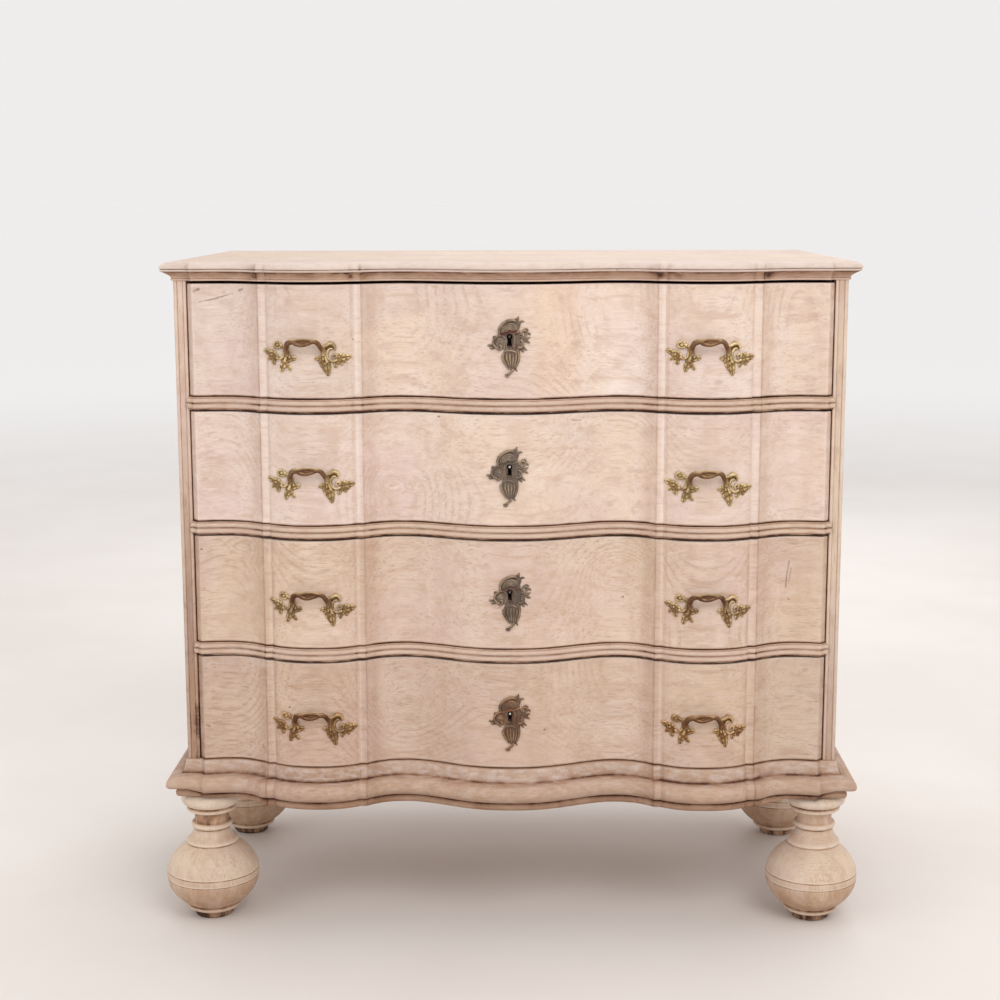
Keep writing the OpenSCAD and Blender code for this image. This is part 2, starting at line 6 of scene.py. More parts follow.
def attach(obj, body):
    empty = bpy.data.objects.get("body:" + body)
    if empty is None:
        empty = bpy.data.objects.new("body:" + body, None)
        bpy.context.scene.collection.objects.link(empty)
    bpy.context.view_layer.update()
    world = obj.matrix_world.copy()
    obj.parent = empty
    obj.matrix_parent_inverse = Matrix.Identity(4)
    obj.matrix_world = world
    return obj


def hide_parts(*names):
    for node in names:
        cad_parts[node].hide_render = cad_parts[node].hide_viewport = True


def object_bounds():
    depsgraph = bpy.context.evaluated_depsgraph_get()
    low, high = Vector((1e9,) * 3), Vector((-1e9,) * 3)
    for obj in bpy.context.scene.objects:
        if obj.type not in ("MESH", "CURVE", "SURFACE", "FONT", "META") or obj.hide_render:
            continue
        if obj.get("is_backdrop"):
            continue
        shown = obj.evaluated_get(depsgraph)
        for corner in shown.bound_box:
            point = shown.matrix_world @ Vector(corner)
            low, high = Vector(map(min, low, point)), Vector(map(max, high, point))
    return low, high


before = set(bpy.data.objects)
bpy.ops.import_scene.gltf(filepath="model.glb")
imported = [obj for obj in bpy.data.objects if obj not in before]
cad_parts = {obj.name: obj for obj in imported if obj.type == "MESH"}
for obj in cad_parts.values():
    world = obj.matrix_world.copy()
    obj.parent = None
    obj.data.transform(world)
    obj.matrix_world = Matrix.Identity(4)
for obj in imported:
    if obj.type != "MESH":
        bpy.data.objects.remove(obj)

BOX0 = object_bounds()
rng = np.random.default_rng(7)

# ---------------------------------------------------------------- numbers (mm)
YF, YB, TOPB, HC, XI, XP = -249.125, 325.875, 331.875, 531.5, 511.5, 509.5
XDR = 509.7
RAIL_BACK = YF + 70
ZBOT = [877.5, 676.0, 476.5, 279.0]
ZTOP = [1056.5, 854.0, 652.5, 453.0]
KEY = [976.5, 772.0, 571.0, 371.0]
PULL = [941.0, 739.5, 540.0, 342.5]
AE = 511.5


def sy(x):
    a = np.abs(np.asarray(x, float))
    r = np.zeros_like(a)
    c = [a < 170, a < 232.4, a < 244, a < 381, a < 394, a < 455, a < AE - 10.4, a < AE - 2.5]
    v = [-51 + 45.4*(1 - np.cos(np.pi*np.power(np.minimum(a, 170)/170, 1.25)))/2,
         -5.6 - 24.4*np.power(np.clip((a - 170)/62.4, 0, 1), 2.3),
         np.full_like(a, -31.0),
         -32 - 18.5*(1 - np.power(np.minimum(np.abs(a - 312.5)/68.5, 1), 2.4)),
         np.full_like(a, -29.0),
         -2 - 25.5*np.power(np.clip((455 - a)/61, 0, 1), 1.9),
         -2 - 6*np.power(np.clip((a - 455)/(AE - 465.5), 0, 1), 1.8),
         a - AE + 2.5]
    return np.select(c, v, 0.0)


def stations(lim):
    h = list(np.linspace(0, 170, 40)) + list(np.linspace(172.5, 230.5, 22)) + [231.6, 232.3, 232.5, 233.2, 236, 240, 242.6, 243.9, 244.1, 244.8]
    h += list(np.linspace(247.5, 377.5, 40)) + [379.8, 380.9, 381.1, 382.2, 385.5, 389.5, 392.6, 393.9, 394.1, 395.2]
    h += list(np.linspace(397.5, 452, 17)) + list(np.linspace(456, AE - 13, 12)) + [AE - 11.6, AE - 10.7, AE - 10.3, AE - 9.4, AE - 7, AE - 4.8, AE - 2.6, AE - 2.4]
    h = sorted({round(float(v), 3) for v in h if v < lim - 0.15})
    return np.array([-v for v in h[::-1] if v > 0] + h)


# ---------------------------------------------------------------- mesh helpers
def mk(name, V, F, mat, body, nodes=(), angle=32, attrs=None, recalc=True, smooth=True):
    me = bpy.data.meshes.new(name)
    me.from_pydata((np.asarray(V, float)*0.001).tolist(), [], [list(f) for f in F])
    me.validate()
    if recalc:
        bm = bmesh.new(); bm.from_mesh(me)
        bmesh.ops.recalc_face_normals(bm, faces=bm.faces)
        bm.to_mesh(me); bm.free()
    for k, a in (attrs or {}).items():
        at = me.attributes.new(k, 'FLOAT', 'POINT')
        at.data.foreach_set('value', np.clip(np.asarray(a, np.float32), 0, 1))
    if smooth:
        me.polygons.foreach_set('use_smooth', [True]*len(me.polygons))
        me.set_sharp_from_angle(angle=math.radians(angle))
    me.update()
    o = bpy.data.objects.new(name, me)
    bpy.context.scene.collection.objects.link(o)
    me.materials.append(mat)
    place(o, body, nodes)
    return o


def place(o, body, nodes=()):
    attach(o, body)
    if nodes:
        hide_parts(*nodes)
    return o


def sweep(path, dirs, sec, back=None):
    """Section points (o, z) or (o, z, 1) with the third meaning: on the line y = back(x)."""
    n, m = len(path), len(sec)
    V = np.zeros((n, m, 3))
    for j, s in enumerate(sec):
        V[:, j, 0] = path[:, 0] + dirs[:, 0]*s[0]
        V[:, j, 1] = path[:, 1] + dirs[:, 1]*s[0]
        if len(s) > 2:
            V[:, j, 0] = path[:, 0]
            V[:, j, 1] = [back(x) for x in path[:, 0]]
        V[:, j, 2] = s[1]
    F = []
    for i in range(n - 1):
        for j in range(m):
            k = (j + 1) % m
            F.append((i*m + j, (i + 1)*m + j, (i + 1)*m + k, i*m + k))
    F.append(tuple(range(m)))
    F.append(tuple((n - 1)*m + j for j in range(m - 1, -1, -1)))
    return V.reshape(-1, 3), F


def tile(vals, n):
    return np.tile(np.asarray(vals, float), n)


def front_path(e=HC, mitre=True):
    xs = stations(AE + 1)
    p = [(-e, YF)] + [(x, YF + y) for x, y in zip(xs, sy(xs))] + [(e, YF)]
    d = [(-1, -1) if mitre else (0, -1)] + [(0, -1)]*len(xs) + [(1, -1) if mitre else (0, -1)]
    return np.array(p), np.array(d, float)


def crowd(x, low=False):
    """Dark quirks and pale arrises that run along the serpentine, as (darkening, lightening) at x. The darkening is
    grime and painted shade in the quirks, and painted shade in broad bands in the hollows beside the fillets; the
    lightening is worn arrises with a painted highlight, and pale strips.
    On the two low drawers only a narrow line of each arris is pale."""
    a = np.abs(x)
    g = lambda c, w: np.exp(-((a - c)/w)**2)
    # painted shade: broad dark bands in the hollows beside the fillets (402 and 221 mm); the narrow quirk lines are
    # grime with painted shade
    dirt_and_shade = 0.34*g(395.2, 1.5) + 0.26*g(231.6, 1.3) + 0.17*g(402, 10) + 0.19*g(221, 11) + 0.30*g(246.4, 1.5) + 0.24*g(379.4, 1.5) + 0.22*g(AE - 6.4, 3.2)
    # painted highlight on the arrises, together with their worn edges
    wear_and_highlight = 0.30*g(383.0, 2.2) + 0.35*g(241.6, 2.0) + 0.55*g(AE - 10.8, 1.8)
    box = lambda p, q: 1/(1 + np.exp(-(a - p)/0.6))*(1 - 1/(1 + np.exp(-(a - q)/0.6)))
    if low:
        return np.clip(dirt_and_shade + 0.22*g(379.0, 1.6) + 0.13*box(232.4, 240.2) + 0.07*box(386, 394), 0, 1), np.clip(0.5*wear_and_highlight + 0.12*box(232.4, 241) + 0.80*box(241.2, 245.4) + 0.85*box(380.6, 384.6) + 0.16*box(384.6, 394), 0, 1)
    return np.clip(dirt_and_shade, 0, 1), np.clip(wear_and_highlight + 0.22*box(232.4, 238.5) + 0.56*box(238.5, 244) + 0.50*box(381, 394), 0, 1)


# ---------------------------------------------------------------- materials
class Nt:
    def __init__(self, name):
        self.m = bpy.data.materials.new(name)
        self.m.use_nodes = True
        self.t = self.m.node_tree
        self.t.nodes.clear()
        self.out = self.t.nodes.new('ShaderNodeOutputMaterial')
        self.b = self.t.nodes.new('ShaderNodeBsdfPrincipled')
        self.t.links.new(self.b.outputs[0], self.out.inputs[0])

    def link(self, a, b):
        self.t.links.new(a, b)

    def put(self, sock, v):
        if hasattr(v, 'is_output') or isinstance(v, bpy.types.NodeSocket):
            self.t.links.new(v, sock)
        elif v is not None:
            sock.default_value = v

    def math(self, op, a, b=None, c=None, clamp=False):
        n = self.t.nodes.new('ShaderNodeMath'); n.operation = op; n.use_clamp = clamp
        for i, v in enumerate((a, b, c)):
            if v is not None:
                self.put(n.inputs[i], v)
        return n.outputs[0]

    def add(self, a, b): return self.math('ADD', a, b)
    def sub(self, a, b): return self.math('SUBTRACT', a, b)
    def mul(self, a, b): return self.math('MULTIPLY', a, b)

    def vec(self, x, y, z):
        n = self.t.nodes.new('ShaderNodeCombineXYZ')
        for i, v in enumerate((x, y, z)):
            self.put(n.inputs[i], v)
        return n.outputs[0]

    def sep(self, v):
        n = self.t.nodes.new('ShaderNodeSeparateXYZ'); self.link(v, n.inputs[0])
        return n.outputs[0], n.outputs[1], n.outputs[2]

    def vmul(self, v, s):
        n = self.t.nodes.new('ShaderNodeVectorMath'); n.operation = 'MULTIPLY'
        self.link(v, n.inputs[0]); n.inputs[1].default_value = s
        return n.outputs[0]

    def vadd(self, v, s):
        n = self.t.nodes.new('ShaderNodeVectorMath'); n.operation = 'ADD'
        self.link(v, n.inputs[0]); self.put(n.inputs[1], s)
        return n.outputs[0]

    def noise(self, v, scale=1.0, detail=3.0, rough=0.55, lac=2.0, dist=0.0):
        n = self.t.nodes.new('ShaderNodeTexNoise')
        self.link(v, n.inputs['Vector'])
        n.inputs['Scale'].default_value = scale; n.inputs['Detail'].default_value = detail
        n.inputs['Roughness'].default_value = rough; n.inputs['Lacunarity'].default_value = lac
        n.inputs['Distortion'].default_value = dist
        return n.outputs['Fac']

    def voro(self, v, scale=1.0, feature='F1', rnd=1.0):
        n = self.t.nodes.new('ShaderNodeTexVoronoi'); n.feature = feature
        self.link(v, n.inputs['Vector']); n.inputs['Scale'].default_value = scale
        n.inputs['Randomness'].default_value = rnd
        return n.outputs['Distance']

    def ramp(self, f, a, b, lo=0.0, hi=1.0, smooth=True):
        n = self.t.nodes.new('ShaderNodeMapRange')
        n.interpolation_type = 'SMOOTHSTEP' if smooth else 'LINEAR'
        self.put(n.inputs[0], f)
        for i, v in zip((1, 2, 3, 4), (a, b, lo, hi)):
            n.inputs[i].default_value = v
        return n.outputs[0]

    def mix(self, f, a, b, mode='MIX'):
        n = self.t.nodes.new('ShaderNodeMix'); n.data_type = 'RGBA'; n.blend_type = mode
        self.put(n.inputs[0], f)
        for s, v in ((n.inputs[6], a), (n.inputs[7], b)):
            if isinstance(v, (tuple, list)):
                s.default_value = (*v, 1.0) if len(v) == 3 else v
            else:
                self.link(v, s)
        return n.outputs[2]

    def attr(self, name):
        n = self.t.nodes.new('ShaderNodeAttribute'); n.attribute_name = name
        return n.outputs['Fac']

    def obj(self):
        return self.t.nodes.new('ShaderNodeTexCoord').outputs['Object']

    def bump(self, h, dist, strength=1.0, normal=None):
        n = self.t.nodes.new('ShaderNodeBump')
        n.inputs['Strength'].default_value = strength
        n.inputs['Distance'].default_value = dist
        self.link(h, n.inputs['Height'])
        if normal is not None:
            self.link(normal, n.inputs['Normal'])
        return n.outputs[0]


def lin(r, g, b):
    f = lambda c: (c/255/12.92 if c/255 <= 0.04045 else ((c/255 + 0.055)/1.055)**2.4)
    return (f(r), f(g), f(b))


def wood(name, col, grain='X', seed=0.0, ring=0.0042, figure=1.0, pith=(0.16, 0.03), lime=0.5, streak=1.0, knots=(), rays=0.6,
         dirt_and_shade_col=(0.070, 0.026, 0.016), rough=0.66, dark=1.0, stain_and_shade_tint=(0.60, 0.46, 0.37), blotch=1.0, zones=1.0, marks=(), specks=1.0, ticks=1.0, tone=()):
    """Bleached oak. col is the middle colour (linear). pith is the distance of the heart behind and
    below the origin, across the grain. knots: (along, across, radius) in the face plane.
    marks: scratches and checks in the face plane, (along, across, along, across, half width, strength).
    tone: tints in bands along the grain, (in0, in1, out0, out1, factor); on the fronts partly the boards' own tints and
    partly painted light and shade, on the stiles painted shade darker towards the bottom."""
    m = Nt(name)
    k3 = lambda *k: tuple(min(1.0, c*f) for c, f in zip(col, k))
    x, y, z = m.sep(m.obj())
    g, a, b = {'X': (x, y, z), 'Y': (y, x, z), 'Z': (z, y, x)}[grain]
    P = m.vec(g, a, b)
    PS = m.vadd(P, (seed*1.37, seed*0.71, seed*0.93))
    # slow wander of the fibres
    w1 = m.sub(m.noise(m.vmul(PS, (1.6, 5.0, 5.0)), detail=2.0), 0.5)
    w2 = m.sub(m.noise(m.vmul(PS, (6.5, 22.0, 22.0)), detail=2.0), 0.5)
    bb = m.add(b, m.add(m.mul(w1, 0.055), m.mul(w2, 0.007)))
    aa = m.add(a, m.mul(w1, 0.03))
    kn = None
    for kg, kb, kr in knots:
        dg = m.mul(m.sub(g, kg), 0.62); db = m.sub(b, kb)
        d = m.math('SQRT', m.add(m.mul(dg, dg), m.mul(db, db)))
        bell = m.ramp(d, 0.0, kr*3.4, 1.0, 0.0)
        bb = m.add(bb, m.mul(bell, kr*0.9))
        aa = m.add(aa, m.mul(bell, kr*2.2))
        core = m.ramp(m.add(d, m.mul(w2, kr*0.8)), kr*0.10, kr*0.50, 1.0, 0.0)
        kn = core if kn is None else m.math('MAXIMUM', kn, core)
    # growth rings round a heart that lies behind the face
    ra = m.add(aa, -pith[0]); rb = m.add(bb, -pith[1])
    r = m.math('SQRT', m.add(m.mul(ra, ra), m.mul(rb, rb)))
    r = m.add(r, m.mul(w2, 0.003))
    t = m.math('FRACT', m.mul(r, 1.0/ring))
    late = m.mul(m.ramp(t, 0.42, 0.86, 0.0, 1.0), m.ramp(t, 0.90, 1.0, 1.0, 0.0))
    zone = m.ramp(m.noise(m.vmul(PS, (2.6, 8.0, 8.0)), detail=2.0), 0.46, 0.62, 0.03, 1.0)
    brk = m.ramp(m.noise(m.vmul(PS, (42.0, 150.0, 150.0)), detail=3.0, rough=0.65), 0.40, 0.56, 0.22, 1.0)
    fig = m.mul(m.mul(late, brk), m.mul(zone, figure))
    # fibres, streaks, short ticks, rays, pores
    fib = m.noise(m.vmul(m.vec(g, aa, bb), (9.0, 520.0, 520.0)), detail=4.0, rough=0.62)
    stk = m.noise(m.vmul(m.vec(m.add(g, seed), aa, bb), (3.4, 78.0, 78.0)), detail=4.0, rough=0.62)
    tkn = m.noise(m.vmul(m.vec(m.add(g, seed*0.37), aa, bb), (34.0, 380.0, 380.0)), detail=2.5, rough=0.6)
    tkz = m.ramp(m.noise(m.vadd(m.vmul(PS, (5.2, 11.0, 11.0)), (2.1, 6.3, 1.7)), detail=2.0), 0.38, 0.58, 0.25, 1.0)
    tick = m.mul(m.ramp(tkn, 0.53, 0.68, 0.0, ticks), tkz)
    rayn = m.ramp(m.noise(m.vmul(PS, (46.0, 230.0, 160.0)), detail=1.0), 0.64, 0.74, 0.0, rays)
    pv = m.voro(m.vmul(m.vec(g, aa, bb), (150.0, 1500.0, 1500.0)), 1.0)
    pore = m.mul(m.ramp(pv, 0.16, 0.34, 1.0, 0.0), m.ramp(t, 0.0, 0.5, 1.0, 0.25))
    bl1 = m.noise(m.vadd(m.vmul(PS, (4.6, 5.5, 5.5)), (5.1, 0.3, 2.2)), detail=3.0, rough=0.6)
    bl2 = m.noise(m.vadd(m.vmul(PS, (13.0, 19.0, 19.0)), (1.1, 7.3, 9.2)), detail=4.0, rough=0.65)
    bl3 = m.noise(m.vadd(m.vmul(PS, (3.0, 3.6, 3.6)), (8.1, 2.3, 4.4)), detail=2.0)
    bl4 = m.noise(m.vadd(m.vmul(PS, (30.0, 62.0, 62.0)), (3.7, 1.9, 0.4)), detail=3.0, rough=0.6)
    vz = m.noise(m.vadd(m.vmul(PS, (13.0, 1.6, 1.6)), (0.9, 4.1, 7.7)), detail=3.0, rough=0.6)
    hi = k3(1.10, 1.13, 1.16); lo = k3(0.84, 0.75, 0.67)
    c = m.mix(m.ramp(bl1, 0.42, 0.62, 0.0, 0.95*blotch), tuple(col), k3(0.955, 0.885, 0.955))
    c = m.mix(m.ramp(bl3, 0.44, 0.64, 0.0, 0.85*blotch), c, k3(1.05, 1.02, 0.90))
    c = m.mix(m.ramp(bl2, 0.52, 0.72, 0.0, 0.60*blotch), c, hi)
    c = m.mix(m.ramp(bl2, 0.47, 0.28, 0.0, 0.88*blotch), c, k3(0.83, 0.75, 0.69))
    c = m.mix(m.ramp(bl1, 0.44, 0.28, 0.0, 0.50*blotch), c, k3(0.87, 0.88, 0.91))
    c = m.mix(m.ramp(vz, 0.52, 0.70, 0.0, 0.66*zones), c, k3(0.86, 0.78, 0.70))
    c = m.mix(m.ramp(vz, 0.48, 0.30, 0.0, 0.60*zones), c, hi)
    c = m.mix(m.ramp(bl4, 0.50, 0.70, 0.0, 0.74*blotch), c, k3(0.86, 0.78, 0.74))
    c = m.mix(m.ramp(bl4, 0.48, 0.28, 0.0, 0.38*blotch), c, hi)
    c = m.mix(m.ramp(stk, 0.52, 0.72, 0.0, 0.95*streak), c, lo)
    c = m.mix(m.ramp(stk, 0.46, 0.24, 0.0, 0.60*streak), c, hi)
    c = m.mix(m.mul(fig, 0.68), c, k3(0.68, 0.57, 0.50))
    c = m.mix(m.mul(tick, 0.74), c, k3(0.66, 0.55, 0.48))
    c = m.mix(m.ramp(fib, 0.30, 0.72, 0.0, 0.40), c, lo)
    c = m.mix(m.mul(rayn, 0.45), c, hi)
    c = m.mix(m.mul(pore, 0.45), c, k3(0.50, 0.44, 0.40))
    if specks:
        sv = m.voro(m.vadd(m.vmul(PS, (17.0, 17.0, 23.0)), m.vec(m.mul(bl4, 0.12), m.mul(tkn, 0.10), 0.3)), 1.0)
        sp = m.mul(m.ramp(sv, 0.022, 0.055, 0.85*specks, 0.0), m.ramp(bl2, 0.50, 0.56, 0.0, 1.0))
        c = m.mix(sp, c, k3(0.36, 0.25, 0.19))
    if kn is not None:
        c = m.mix(m.mul(kn, 0.30), c, k3(0.46, 0.35, 0.28))
    for g0, b0, g1, b1, hw, st in marks:
        ex, eb = g1 - g0, b1 - b0
        pg = m.add(g, m.add(m.mul(w2, 0.004), -g0)); pb = m.add(b, m.add(m.mul(m.sub(bl4, 0.5), 0.006), -b0))
        hh = m.math('MULTIPLY', m.add(m.mul(pg, ex), m.mul(pb, eb)), 1.0/(ex*ex + eb*eb), clamp=True)
        qa = m.sub(pg, m.mul(hh, ex)); qb = m.sub(pb, m.mul(hh, eb))
        dd = m.math('SQRT', m.add(m.mul(qa, qa), m.mul(qb, qb)))
        c = m.mix(m.mul(m.ramp(dd, hw*0.45, hw*1.5, st, 0.0), m.ramp(bl4, 0.30, 0.50, 0.35, 1.0)), c, k3(0.40, 0.29, 0.23))
    for a0, a1, b0, b1, f3 in tone:
        c = m.mix(m.mul(m.ramp(g, a0, a1, 0.0, 1.0), m.ramp(g, b0, b1, 1.0, 0.0)), c, f3, 'MULTIPLY')
    # grime, worn edges and lime residue from the mesh; the dark mask also holds painted shade in crevices, gaps and
    # hollows, the pale mask a painted highlight on arrises
    dn = m.noise(m.vmul(PS, (60.0, 60.0, 60.0)), detail=4.0, rough=0.7)
    dm = m.noise(m.vadd(m.vmul(PS, (16.0, 44.0, 44.0)), (6.6, 2.4, 3.1)), detail=3.0, rough=0.6)
    D = m.attr('dirt_and_shade'); W = m.attr('wear_and_highlight'); L = m.attr('lime')
    wf = m.mul(m.mul(W, m.ramp(dn, 0.25, 0.62, 0.35, 1.0)), 0.80)
    c = m.mix(wf, c, k3(1.17, 1.23, 1.27))
    lf = m.mul(m.mul(L, m.ramp(m.noise(m.vmul(PS, (46.0, 130.0, 130.0)), detail=4.0, rough=0.68), 0.38, 0.68, 0.0, 1.0)), lime)
    c = m.mix(lf, c, lin(216, 203, 196))
    lg = m.mul(m.mul(L, m.ramp(m.noise(m.vmul(m.vadd(PS, (1.7, 5.2, 2.9)), (40.0, 120.0, 120.0)), detail=4.0, rough=0.7), 0.50, 0.70, 0.0, 1.0)), lime*0.50)
    c = m.mix(lg, c, lin(158, 138, 124))
    Dn = m.mul(D, m.mul(m.ramp(dm, 0.30, 0.62, 0.45, 1.15), m.ramp(dn, 0.28, 0.60, 0.70, 1.1)))
    # painted shade with grime: a light tint, then the dark colour where the mask is strong
    c = m.mix(m.math('MULTIPLY', m.ramp(Dn, 0.0, 0.48, 0.0, 0.92, smooth=False), 1.0, clamp=True), c, k3(*stain_and_shade_tint))
    df = m.ramp(Dn, 0.40, 1.0, 0.0, dark)
    c = m.mix(df, c, tuple(dirt_and_shade_col))
    m.link(c, m.b.inputs['Base Color'])
    ro = m.add(m.ramp(stk, 0.2, 0.8, rough - 0.07, rough + 0.09), m.add(m.mul(pore, 0.12), m.mul(df, 0.12)))
    m.link(ro, m.b.inputs['Roughness'])
    m.b.inputs['Specular IOR Level'].default_value = 0.32
    h = m.add(m.mul(fib, 0.6), m.add(m.mul(fig, -0.9), m.add(m.mul(pore, -1.3), m.mul(tick, -1.2))))
    h = m.add(h, m.add(m.mul(stk, 0.9), m.mul(m.noise(m.vmul(PS, (14.0, 34.0, 34.0)), detail=2.0), 2.4)))
    if kn is not None:
        h = m.add(h, m.mul(kn, 0.4))
    m.link(m.bump(h, 0.00025, 0.60), m.b.inputs['Normal'])
    return m.m


def metal(name, deep, mid, high, rough=0.42, metallic=0.85, patch=1.0, verd=None, rust=None, pin=None, bar=None, rusty=0.80, bright=1.0):
    m = Nt(name)
    o = m.obj()
    hollows_and_light = m.attr('hollows_and_light') if pin is None else None
    n1 = m.noise(m.vmul(o, (160, 160, 160)), detail=5.0, rough=0.65)
    n2 = m.noise(m.vmul(o, (45, 45, 45)), detail=3.0, rough=0.6)
    n3 = m.noise(m.vmul(o, (900, 900, 900)), detail=2.0)
    n4 = m.noise(m.vmul(m.vadd(o, (0.31, 0.77, 0.13)), (85, 85, 85)), detail=3.0, rough=0.6)
    # the mask from the mesh holds the castings' hollows (dark patina) and painted light: raised and up-facing points
    # lighter, down-facing darker
    v = m.add(hollows_and_light if hollows_and_light is not None else 0.52, m.mul(m.sub(n1, 0.5), 0.46*patch))
    c = m.mix(m.ramp(v, 0.52, 0.82, 0.0, 1.0), mid, high)
    c = m.mix(m.ramp(v, 0.45, 0.13, 0.0, 0.92), c, deep)
    c = m.mix(m.ramp(n2, 0.42, 0.70, 0.0, 0.60*patch), c, tuple(0.6*a + 0.4*b for a, b in zip(mid, deep)))
    if verd is not None:
        c = m.mix(m.mul(m.ramp(v, 0.56, 0.30, 0.0, 1.0), m.ramp(n2, 0.42, 0.60, 0.0, 0.65)), c, verd)
    if rust is not None:
        c = m.mix(m.ramp(m.add(n4, m.mul(m.sub(v, 0.5), -0.35)), 0.46, 0.62, 0.0, rusty), c, rust)
    # on the pulls the brown is left off the bar's up-facing tops, which stay pale as a painted highlight
    if bar is not None:      # bare metal that has gone brown, painted on the mesh
        c = m.mix(m.mul(m.attr('out'), m.ramp(n2, 0.36, 0.66, 1.0, 0.70)), c, bar)
    m.link(c, m.b.inputs['Base Color'])
    m.b.inputs['Metallic'].default_value = metallic
    ro = m.add(m.ramp(v, 0.30, 0.80, rough + 0.20, rough - 0.06), m.mul(m.sub(n1, 0.5), 0.22))
    if pin is not None:      # the rubbed end of the lock's pin
        x, y, z = m.sep(o)
        zz = m.add(z, -pin)
        pd = m.ramp(m.math('SQRT', m.add(m.mul(x, x), m.mul(zz, zz))), 0.0021, 0.0027, 1.0, 0.0)
        c = m.mix(m.mul(pd, bright), c, lin(214, 206, 200))
        m.link(c, m.b.inputs['Base Color'])
        ro = m.sub(ro, m.mul(pd, 0.22))
    m.link(ro, m.b.inputs['Roughness'])
    h = m.add(m.mul(n1, 1.0), m.mul(n3, 0.25))
    m.link(m.bump(h, 0.00025, 0.6), m.b.inputs['Normal'])
    return m.m


M = {}
# middle colours of the four fronts, darker towards the bottom drawer: painted shade, as less light reaches the lower
# fronts
D_COL = [lin(226.5, 208, 197), lin(226, 207, 195), lin(216, 194, 177), lin(207, 184, 167)]
# bands along each front: the lighter right hollow is painted light and the darker far ends painted shade, the rest the
# boards' own tint
TONE = [((-0.60, -0.59, -0.25, -0.22, (0.955, 0.955, 0.95)), (0.10, 0.15, 0.20, 0.235, (1.07, 1.11, 1.13)), (0.02, 0.05, 0.10, 0.13, (1.0, 0.97, 0.93)), (0.395, 0.41, 0.60, 0.61, (0.975, 0.97, 0.975))),
        ((0.24, 0.25, 0.375, 0.385, (0.985, 0.98, 0.97)),),
        ((-0.60, -0.59, -0.40, -0.38, (0.97, 0.97, 0.97)), (0.04, 0.10, 0.20, 0.235, (1.06, 1.09, 1.08)), (0.39, 0.41, 0.60, 0.61, (0.96, 0.96, 0.95))),
        ((0.03, 0.10, 0.20, 0.235, (1.09, 1.11, 1.12)), (-0.385, -0.375, -0.25, -0.24, (0.97, 0.94, 0.90)), (-0.60, -0.59, -0.40, -0.39, (0.96, 0.96, 0.96)), (0.39, 0.41, 0.60, 0.61, (0.955, 0.975, 1.0)))]
KN = [[(-0.502, 1.047, 0.010), (-0.452, 1.043, 0.007), (0.324, 0.905, 0.015)],
      [(-0.489, 0.745, 0.011), (0.160, 0.705, 0.013), (-0.19, 0.735, 0.007)],
      [(0.177, 0.595, 0.014), (-0.418, 0.640, 0.010)],
      [(-0.166, 0.385, 0.014), (0.478, 0.432, 0.010)]]
MARKS = [((-0.489, 1.0275, -0.437, 1.0405, 0.0011, 0.75), (-0.497, 1.044, -0.490, 1.048, 0.0022, 0.8), (-0.426, 1.046, -0.421, 1.048, 0.0020, 0.7)),
         ((0.098, 0.8435, 0.112, 0.8420, 0.0010, 0.6),),
         ((0.4475, 0.612, 0.4440, 0.571, 0.0013, 0.75), (0.452, 0.600, 0.449, 0.578, 0.0008, 0.6)),
         ((-0.4975, 0.337, -0.4935, 0.335, 0.0020, 0.7), (-0.4035, 0.307, -0.4015, 0.302, 0.0020, 0.7))]
for i in range(4):
    M['oak%d' % i] = wood('bleached_oak_front_%d' % (i + 1), D_COL[i], 'X', seed=3.1 + 2.3*i, ring=[0.0056, 0.0050, 0.0058, 0.0052][i],
                          figure=[0.85, 0.75, 0.95, 0.95][i], pith=[(0.02, 1.02), (-0.02, 0.70), (0.03, 0.50), (-0.01, 0.46)][i], knots=KN[i],
                          marks=MARKS[i], ticks=[0.75, 0.8, 1.0, 1.0][i], tone=TONE[i])
M['top'] = wood('bleached_oak_top', lin(205, 187.5, 175), 'X', seed=21.0, ring=0.0048, figure=0.6, pith=(-0.1, 0.9), rays=0.8, ticks=0.5, zones=0.6)
M['cove'] = wood('bleached_oak_cove', lin(203, 176, 157), 'X', seed=30.0, ring=0.0032, figure=0.7, pith=(-0.12, 0.9), lime=0.5, blotch=1.3)
M['mould'] = wood('bleached_oak_moulding', lin(203, 178, 159), 'X', seed=33.0, ring=0.0032, figure=0.7, pith=(-0.12, 0.9), lime=0.6, blotch=1.2)
M['base'] = wood('bleached_oak_base', lin(184, 155.5, 134.5), 'X', seed=37.0, ring=0.0036, figure=0.8, pith=(-0.10, 0.15), lime=0.8, blotch=1.2)
M['basey'] = wood('bleached_oak_base_side', lin(184, 155.5, 134.5), 'Y', seed=39.0, ring=0.0036, figure=0.8, pith=(0.45, 0.15), lime=0.7, blotch=1.2)
M['mouldy'] = wood('bleached_oak_moulding_side', lin(196, 168, 149), 'Y', seed=35.0, ring=0.0032, figure=0.7, pith=(0.42, 0.9), lime=0.5, blotch=1.3)
# the stiles' tone bands darken them towards the bottom, the left one more: painted shade
for nm_, sd_, tn_ in (('left', 41.0, ((-1.0, -0.9, 0.38, 0.95, (0.52, 0.44, 0.40)), (-1.0, -0.9, 0.42, 0.66, (0.83, 0.78, 0.76)), (-1.0, -0.9, 2.0, 2.1, (0.93, 0.93, 0.94)))), ('right', 43.0, ((-1.0, -0.9, 0.30, 0.62, (0.78, 0.76, 0.74)), (-1.0, -0.9, 2.0, 2.1, (0.89, 0.92, 0.92))))):
    M['stile_' + nm_] = wood('bleached_oak_stile_' + nm_, lin(220, 197, 180), 'Z', seed=sd_, ring=0.0030, figure=0.6, pith=(-0.10, 0.45), lime=0.3, blotch=1.5, streak=1.3, tone=tn_)
M['side'] = wood('bleached_oak_side', lin(210, 186, 168), 'Z', seed=47.0, ring=0.0052, figure=0.9, pith=(0.02, 0.30), knots=((0.83, 0.50, 0.012),))
